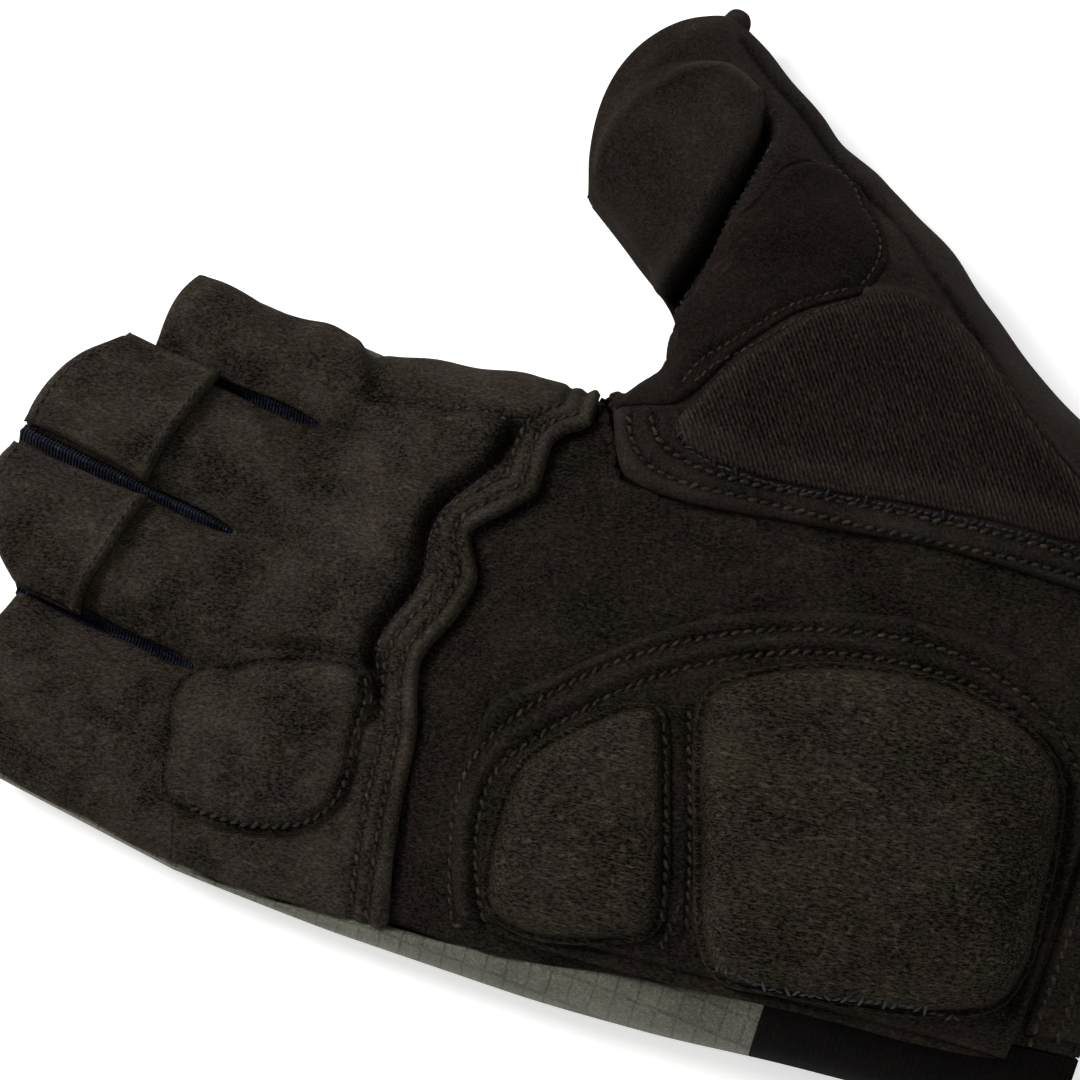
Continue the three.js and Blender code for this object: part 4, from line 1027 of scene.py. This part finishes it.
thumbPanel = panel("thumbPanel", [thumbGrid()], palmInside(suede), thumbLook)
thumbOverlays = {
    "thumbTipPad": {"outline": thumbTipOutline, "rows": 18, "cols": 30, "thick": 0.25, "reach": 6,
                    "puff": 0.7, "features": [("tipArc", 0.8, 0.6)], "edgeLight": 0.5,
                    "material": "thumbSuede", "node": "thumb_tip_pad"},
    "thumbMiddlePanel": {"outline": thumbMiddleOutline, "rows": 26, "cols": 34, "thick": 0.5, "reach": 4,
                         "puff": 0.6, "features": [("crease", -0.8, 0.8), ("middleRow", -0.4, 0.6),
                                                   ("doubleRow", -0.4, 0.6)],
                         "edgeLight": 0.5, "material": "thumbDark",
                         "node": "thumb_middle_panel"},
    "thumbBasePanel": {"outline": thumbBaseOutline, "rows": 72, "cols": 34, "thick": 0.6, "reach": 5,
                       "puff": 0.9, "features": [("baseRidge", 0.5, 0.55), ("baseBulge", 0.7, 1.8),
                                                 ("doubleRow2", -0.4, 0.6)],
                       "edgeLight": 1.0, "material": "terry", "slot": "terry_cloth",
                       "node": "thumb_base_panel"},
}
pieces = {}
for name, look in thumbOverlays.items():
    pieces[name] = overlay(name, thumbPoint, look["outline"], look, thumbShape)
heelLook = {"node": "heel_patch",
            "rows": 105, "cols": 62, "thick": overlayCloth, "reach": 3.0, "puff": 0.35, "lip": 0.15,
            "features": [("heelOut", -0.55, 0.6), ("heelIn", -0.6, 0.6), ("heelMid", 0.35, 0.7),
                         ("channelRow", -0.6, 0.6), ("channelRow2", -0.6, 0.6), ("padFold", -1.0, 0.8)],
            "material": "suede", "lumps": 0.1}
heelPatch = overlay("heelPatch", palmPoint, heelOutline, heelLook)
hemLook = {"node": "wrist_hem", "rows": 9, "cols": 62, "thick": 0.9, "reach": 3, "puff": 0.3,
           "material": "suede"}
wristHem = overlay("wristHem", palmPoint, hemOutline, hemLook)
print("pieces made")


def smoothOutline(outline, step):
    # The curve round a pad in shares, smoothed as it lies on the palm.
    stretch = [1, palmLength / palmWidth]
    return smoothLine(outline * stretch, step, closed=True) / stretch


def pad(name, outline, look):
    # A padded piece on the palm: rings from the middle to the outline, rising from a stitched rim by a
    # quarter circle, gathered by a wavy bell along the seam and softly lumpy on top.
    corners = smoothOutline(outline, 0.006)
    spokes = cells(look["round"])
    corners = evenly(corners, 1e-9 + np.linalg.norm(np.diff(corners, axis=0), axis=1).sum() / spokes)
    centre = outline.mean(0)
    rings = cells(look["across"] / 2)
    u = (np.linspace(0, 1, rings + 1) ** 0.85)[:, None, None]
    place = lerp(centre, corners[None], u)
    along, across = place[..., 1], place[..., 0]
    base, normal = palmPoint(along, across), normalAt(palmPoint, along, across)
    rim = base[-1, :, :2]
    d, _, run = distanceTo(base, np.concatenate([rim, rim[:1]]), 40)
    top = look["rim"] + edgeRound(d, 0.8, 0.8) + puff(d - 1.1, look["reach"], look["high"] - look["rim"])
    gather = bell(d - 2.4, 1.6) * np.sin(run * math.tau / look["gatherPitch"] + 2 * np.sin(run / 5))
    soft = look["lumps"] * lumps(base, 15, look["seed"]) * np.clip(d / 4, 0, 1)
    top = top + look["gather"] * gather + soft
    top = top - look["groove"] * bell(d - 1.1, 0.5)
    # Painted shade along the stitched rim and a faint painted highlight where the pad rises.
    shade = -1.2 * bell(d - 0.9, 0.8) + 0.15 * bell(d - 3.2, 1.5)
    # Painted shade on the side towards the outer corner at the wrist, which is turned from the light, and
    # painted light towards the fingers.
    away = -0.44 * base[..., 0] - 0.9 * base[..., 1]
    away = (away - away.min()) / (away.max() - away.min())
    shade = shade + look["paintedSideShade"] * (0.2 - smoothstep(away, 0.35, 1))
    seat = base + normal * look["gap"]
    points = base + normal * (look["gap"] + top)[..., None]
    obj = inPlace(name, onSeat(points, shade, seat), look)
    return obj


padLook = {"rim": 0.8, "gap": onPatch - 0.3, "gather": 0.1, "gatherPitch": 2.9, "groove": 0.3,
           "lumps": 0.2, "paintedSideShade": 0, "material": "padSuede", "fill": 0.6}
heelPad = pad("heelPad", heelPadOutline, {
    **padLook, "node": "heel_pad", "round": 180, "across": 58, "rim": 0.9, "high": 4.2, "reach": 7,
    "lumps": 0.25, "paintedSideShade": 0.8, "seed": 11})
heelPadSmall = pad("heelPadSmall", smallPadOutline, {
    **padLook, "node": "heel_pad_small", "round": 110, "across": 34, "high": 3.4, "reach": 5, "seed": 12})
littlePad = pad("littleFingerPad", littlePadOutline, {
    **padLook, "node": "little_finger_pad", "round": 95, "across": 30, "high": 2.6, "reach": 4.5,
    "gap": 0.35, "paintedSideShade": 0.6, "seed": 13, "material": "fingerSuede", "fill": 0.5})
print("pads made")

backLook = {"node": "back_panel", "material": "ripstop", "slot": "ripstop", "flip": True, "pucker": 0.3}
cuffLook = {"node": "cuff_back", "material": "elastic", "slot": "elastic_knit", "flip": True}
thumbBackLook = {"node": "thumb_back", "material": "thumbSuede", "flip": True}


def acrossFinger(k):
    # Shares across a finger's back, closer together where the little finger's wraps up.
    return np.linspace(0, 1, cells(21) // 2 + 1) ** (1.6 if k == 0 else 1)


def openEdge(points, k):
    # The index side's edge stays a little under the palm side's.
    if k == 3:
        points[:, -1, 2] = np.minimum(points[:, -1, 2], edgeHeight - clearance)
    return points


def backQuads(low, high, rowLength):
    # Grids of the back from low to high along the hand: the flank that wraps up, puckered by a sine of a
    # sine along its seam, and one below each finger.
    rows = cells(rowLength)
    u = np.linspace(0, 1, rows + 1)[:, None]
    w = np.linspace(0, 1, 13)
    flankAlong = lerp(low(0.0), high(0.0), u)
    flank = palmPoint(flankAlong, (flankShare(flankAlong) - clearance / palmWidth) * (1 - w))
    wave = np.sin(flank[..., 1] / 2.1 + np.sin(flank[..., 1] / 7) * 2)
    pucker = backLook["pucker"] * wave * w * (1 - w) * 3
    flank = flank + np.stack([-pucker, 0 * pucker, 0.3 * pucker], -1)
    grids = [flank]
    for k in range(4):
        across = lerp(fingers["start"][k], fingers["stop"][k], acrossFinger(k)) * np.ones_like(u)
        grids.append(openEdge(palmPoint(lerp(low(across), high(across), u), across, "back"), k))
    return grids


def untoned(grids):
    # Grids with a shade of 0 everywhere.
    return [(grid, 0 * grid[..., 0]) for grid in grids]


def backGrids():
    # From the cuff to the crotch line, then one grid below each finger and the little finger's flank.
    cuff = cuffLength / palmLength
    grids = backQuads(lambda a: cuff + 0 * a, lambda a: readTable(crotchLine, "along", a), 92)
    s = np.linspace(0, 1, cells(30) + 1)[:, None]
    for k in range(4):
        grids.append(openEdge(fingerPoint(k, s, acrossFinger(k) * np.ones_like(s), "back"), k))
    edge = flankShare(readTable(crotchLine, "along", 0.0)) / fingers["stop"][0]
    t = (edge - clearance / palmWidth / fingers["stop"][0]) * (1 - np.linspace(0, 1, 13))
    grids.append(fingerPoint(0, s, t * np.ones_like(s)))
    return untoned(grids)


def thumbBackGrid():
    # The thumb's back from its root to just short of the opening.
    u = np.linspace(0, 1, cells(60) + 1)[:, None]
    w = (1 - np.cos(np.linspace(0, math.pi, cells(30) + 1))) / 2
    points = thumbPoint(0.985 * u * np.ones_like(w), w * np.ones_like(u), "back")
    points[..., 2] = np.minimum(points[..., 2], edgeHeight - clearance)
    return points


backPanel = panel("backPanel", backGrids(), backInside(backCloth), backLook)
cuffEnd = (cuffLength - 0.05) / palmLength
cuffGrids = untoned(backQuads(lambda a: 0 * a, lambda a: cuffEnd + 0 * a, cuffLength))
cuffBack = panel("cuffBack", cuffGrids, backInside(cuffCloth), cuffLook)
thumbBack = panel("thumbBack", untoned([thumbBackGrid()]), backInside(backCloth), thumbBackLook)


gussetLook = {"material": "knit", "slot": "stretch_knit", "tuck": 0.9, "spread": 0.55, "rib": 0.08,
              "ribPitch": 0.9, "wall": 0.5}
gussets = {
    "gussetLittleRing": {**gussetLook, "left": 0, "node": "gusset_little_ring", "fold": -1.6, "sharp": 1.0},
    "gussetRingMiddle": {**gussetLook, "left": 1, "node": "gusset_ring_middle", "fold": 2.0, "sharp": 1.6},
    "gussetMiddleIndex": {**gussetLook, "left": 2, "node": "gusset_middle_index", "fold": -2.2,
                          "sharp": 1.0},
}


def gusset(name, look):
    # Across the slit, by c from -1 to 1: up the left finger's wall, over the slit with a ribbed fold, which
    # is a cosine to the power of sharp, and down the right finger's wall.
    s, left = np.linspace(0, 1, cells(33) * 2)[:, None], look["left"]
    edges = [fingerPoint(left, s, np.ones(1)), fingerPoint(left + 1, s, np.zeros(1))]
    low = fingerBackEdge + backCloth + clearance
    c = np.linspace(-1, 1, 33)
    wall = np.clip((np.abs(c) - 0.6) / 0.4, 0, 1)
    share = np.clip(c / 0.6, -1, 1) / 2 + 0.5
    middle = lerp(edges[0], edges[1], share[None, :, None])
    out = np.where(c < 0, -1, 1) * (look["spread"] * smoothstep(np.abs(c), 0.45, 0.75))
    hump = look["fold"] * np.cos(math.pi / 2 * np.clip(np.abs(c) / 0.6, 0, 1)) ** look["sharp"]
    rib = look["rib"] * np.sin(middle[..., 1] * math.tau / look["ribPitch"])
    top = middle[..., 2] - look["tuck"] + hump * smoothstep(s, 0, 0.12) + rib * (1 - wall)
    points = np.stack([middle[..., 0] + out, middle[..., 1], lerp(top, low, wall)], -1)
    # A painted highlight along a raised fold, painted shade along a sunk one.
    shade = 0.5 * bell(c, 0.12) * np.ones_like(s) * np.sign(look["fold"])
    return inPlace(name, closed([(points, shade)], plainInside(look["wall"])), look)


for name, look in gussets.items():
    pieces[name] = gusset(name, look)

tabLook = {"rows": 21, "cols": 22, "thick": 1.1, "reach": 3.5, "puff": 0.5, "lip": 0.3, "lumps": 0.3,
           "lumpSize": 10, "lift": 1.0, "material": "fingerSuede", "rowIn": 1.2}
tabs = {
    "pullTabRing": {**tabLook, "finger": 1, "node": "pull_tab_ring", "seed": 31, "outline": [
        [-0.07, 0.63, 0.995], [0.1, 0.59, 0.995], [0.5, 0.47, 0.995], [0.95, 0.39, 0.995]]},
    "pullTabMiddle": {**tabLook, "finger": 2, "node": "pull_tab_middle", "seed": 32, "outline": [
        [0.05, 0.41, 0.995], [0.5, 0.44, 0.995], [0.9, 0.49, 0.995], [1.12, 0.52, 0.995]]},
}
tabRows = []
for name, look in tabs.items():
    outline = columns("across low high", look["outline"])
    surface = fingerSurface(look["finger"])
    pieces[name] = overlay(name, surface, outline, look)
    w = np.linspace(0.08, 0.92, 40)
    for edge, inset in (("low", look["rowIn"]), ("high", -look["rowIn"])):
        tabRows.append(surface(readTable(outline, edge, w) + inset / fingerLength, w)[:, :2])


rollLook = {"node": "thumb_seam_end", "material": "thumbSuede", "radius": 2.2, "ridge": 0.15, "half": 2.5,
            "rise": 1.0, "out": 1.2, "shift": (-1.1, -1.7, 0), "fill": 0.9}


def seamEnd():
    # The roll at the outer corner of the opening: a ball with three soft ridges, a little longer than wide.
    start, before = thumbPoint(1.0, 1.0), thumbPoint(0.93, 1.0)
    way = (start - before) * [1, 1, 0]
    way /= np.linalg.norm(way)
    cross = np.array([way[1], -way[0], 0])
    centre = start + way * rollLook["out"] - cross * rollLook["out"] + list(rollLook["shift"])
    count = 25  # points round and along
    u, v = np.linspace(0, 1, count)[:, None], np.linspace(0, 1, count)
    lean = math.pi * (u - 0.5)
    around = math.tau * (v % 1)
    radius = rollLook["radius"] + rollLook["ridge"] * np.sin(around * 3 + u * 9)
    z = np.cos(lean) * np.sin(around) * radius
    x = np.cos(lean) * np.cos(around) * radius
    y = np.sin(lean) * rollLook["half"]
    points = centre + x[..., None] * way + y[..., None] * cross
    points[..., 2] += z + rollLook["rise"]
    made = merged(points.reshape(-1, 3), gridQuads(count, count), 0.3 * np.ones(count ** 2))
    inPlace("thumbSeamEnd", made, rollLook)


seamEnd()
print("gussets, tabs and the thumb's roll made")


def alongEdge(inset, first, last):
    # A line a steady way past the wavy edge, between two shares across the palm.
    w = np.linspace(first, last, 160)
    p = palmPoint(readTable(waveEdge, "along", w), w)[:, :2]
    step = np.gradient(p, axis=0)
    side = np.stack([-step[:, 1], step[:, 0]], 1) / np.linalg.norm(step, axis=1, keepdims=True)
    return evenly(p + side * inset, 0.4)


def padRow(outline, inset, first, last):
    # A row inside a pad's outline, between two shares of the way round.
    corners = smoothOutline(outline, 0.01)
    p = palmPoint(corners[:, 1], corners[:, 0])[:, :2]
    step = np.gradient(p, axis=0)
    side = np.stack([step[:, 1], -step[:, 0]], 1) / np.linalg.norm(step, axis=1, keepdims=True)
    p = p + side * inset
    return evenly(p[int(first * len(p)):int(last * len(p))], 0.4)


stitchLook = {"pitch": 1.7, "length": 1.5, "radius": 0.34, "slant": 0.35, "lift": 0.1, "sink": 0.12,
              "wander": 0.14}
fineLook = {**stitchLook, "pitch": 1.3, "length": 1.1, "radius": 0.24, "slant": 0.15}
looseLook = {**stitchLook, "wander": 0.6, "pitch": 1.1, "length": 1.3, "radius": 0.26}  # overlocked edges
seams = {
    "bandStitches": ([alongEdge(2.5, 0.03, 0.93), alongEdge(4.9, 0.03, 0.9)], [fingerPanel],
        "thread", stitchLook),
    "heelStitches": ([lines["heelOut"], lines["heelIn"], lines["hemRow"], lines["hemRow2"]],
        [heelPatch, wristHem, palmPanel], "thread", stitchLook),
    "channelStitches": ([lines["channelRow"], lines["channelRow2"]],
        [heelPatch, heelPad, heelPadSmall], "thread", stitchLook),
    "thumbBandStitches": ([lines["bandRow"], lines["bandRow2"]], [thumbPanel], "thread", stitchLook),
    "thumbStitches": ([lines["middleRow"], lines["doubleRow"], lines["doubleRow2"]],
        [thumbPanel, pieces["thumbMiddlePanel"], pieces["thumbBasePanel"]], "thread", fineLook),
    "littlePadStitches": ([padRow(littlePadOutline, 0.9, 0.5, 0.98)], [littlePad, fingerPanel],
        "thread", {**stitchLook, "pitch": 1.45, "length": 1.35}),
    "fingerStitches": ([lines["indexSeam"], lines["fieldSeam"]], [fingerPanel], "thread", fineLook),
    "tabStitches": (tabRows, [pieces[name] for name in tabs], "darkThread", fineLook),
    "padStitches": ([lines["padSeam"], lines["gather"]], [heelPatch, heelPad], "darkThread",
        looseLook),
    "foldStitches": ([lines["baseEdge"], np.array(lines["fold"][2:]) - [0, 1.3]],
        [thumbPanel, pieces["thumbMiddlePanel"], pieces["thumbBasePanel"]], "darkThread", looseLook),
    "valleyStitches": ([np.array(lines["valley"][2:]) + [-0.5, -1.0]], [fingerPanel], "darkThread",
        looseLook),
}
for name, seam in seams.items():
    stitches(name, *seam)

print("stitches made")

# The floor, the light and the camera. Turns are degrees, distances metres and lights watts.
studio = {"sky": 0.45, "floorColour": 0.9, "floorGlow": 0.5, "floorHalf": 3, "floorDrop": 0.0002,
          "roll": 19, "tilt": 14, "distance": 0.8, "focus": 5600 / 1080, "target": (0.0098, 0.0155, 0.015)}
lights = {  # way is to the camera's right, up and back
    "key": {"watts": 12.0, "way": (-0.9, 0.75, 0.8), "distance": 1.2, "size": 0.5,
            "colour": (1, 0.985, 0.96)},
    "fill": {"watts": 1.2, "way": (0.8, 0.2, 1.2), "distance": 1.5, "size": 1.2,
             "colour": (0.97, 0.98, 1)},
}
floorMaterial = bpy.data.materials.new("pale floor")
floorMaterial.use_nodes = True
floorShader = floorMaterial.node_tree.nodes["Principled BSDF"]
floorShader.inputs["Base Color"].default_value = (*[studio["floorColour"]] * 3, 1)
floorShader.inputs["Roughness"].default_value = 0.9
floorShader.inputs["Emission Color"].default_value = (1, 1, 1, 1)
floorShader.inputs["Emission Strength"].default_value = studio["floorGlow"]
floorMesh = bpy.data.meshes.new("floor")
floorCorners = [(x * studio["floorHalf"], y * studio["floorHalf"], -studio["floorDrop"])
                for x, y in ((-1, -1), (1, -1), (1, 1), (-1, 1))]
floorMesh.from_pydata(floorCorners, [], [(0, 1, 2, 3)])
floorMesh.materials.append(floorMaterial)
floor = bpy.data.objects.new("floor", floorMesh)
bpy.context.scene.collection.objects.link(floor)

roll, tilt = math.radians(studio["roll"]), math.radians(studio["tilt"])
right = Vector((math.sin(roll), -math.cos(roll), 0))
up = Vector((math.cos(roll), math.sin(roll), 0))
back = math.cos(tilt) * Vector((0, 0, 1)) - math.sin(tilt) * up
cameraUp = back.cross(right)
target = Vector(studio["target"])


def areaLight(name, look):
    # A round soft light, that far from the glove and turned to it.
    data = bpy.data.lights.new(name, "AREA")
    data.shape, data.size, data.energy, data.color = "DISK", look["size"], look["watts"], look["colour"]
    obj = bpy.data.objects.new(name, data)
    bpy.context.scene.collection.objects.link(obj)
    way = Matrix((right, cameraUp, back)).transposed() @ Vector(look["way"])
    obj.location = target + way.normalized() * look["distance"]
    obj.rotation_euler = (target - obj.location).to_track_quat("-Z", "Y").to_euler()


for name, look in lights.items():
    areaLight(name, look)
world = bpy.data.worlds.new("studio")
world.use_nodes = True
world.node_tree.nodes["Background"].inputs["Color"].default_value = (1, 1, 1, 1)
world.node_tree.nodes["Background"].inputs["Strength"].default_value = studio["sky"]
scene = bpy.context.scene
scene.world = world
scene.view_settings.view_transform = "Standard"
scene.view_settings.look = "None"

cameraData = bpy.data.cameras.new("camera")
cameraData.lens, cameraData.sensor_width = studio["focus"] * 36, 36
cameraData.clip_start, cameraData.clip_end = 0.05, 10
camera = bpy.data.objects.new("camera", cameraData)
scene.collection.objects.link(camera)
turned = Matrix((right, cameraUp, back)).transposed().to_4x4()
camera.matrix_world = Matrix.Translation(target + studio["distance"] * back) @ turned
scene.camera = camera
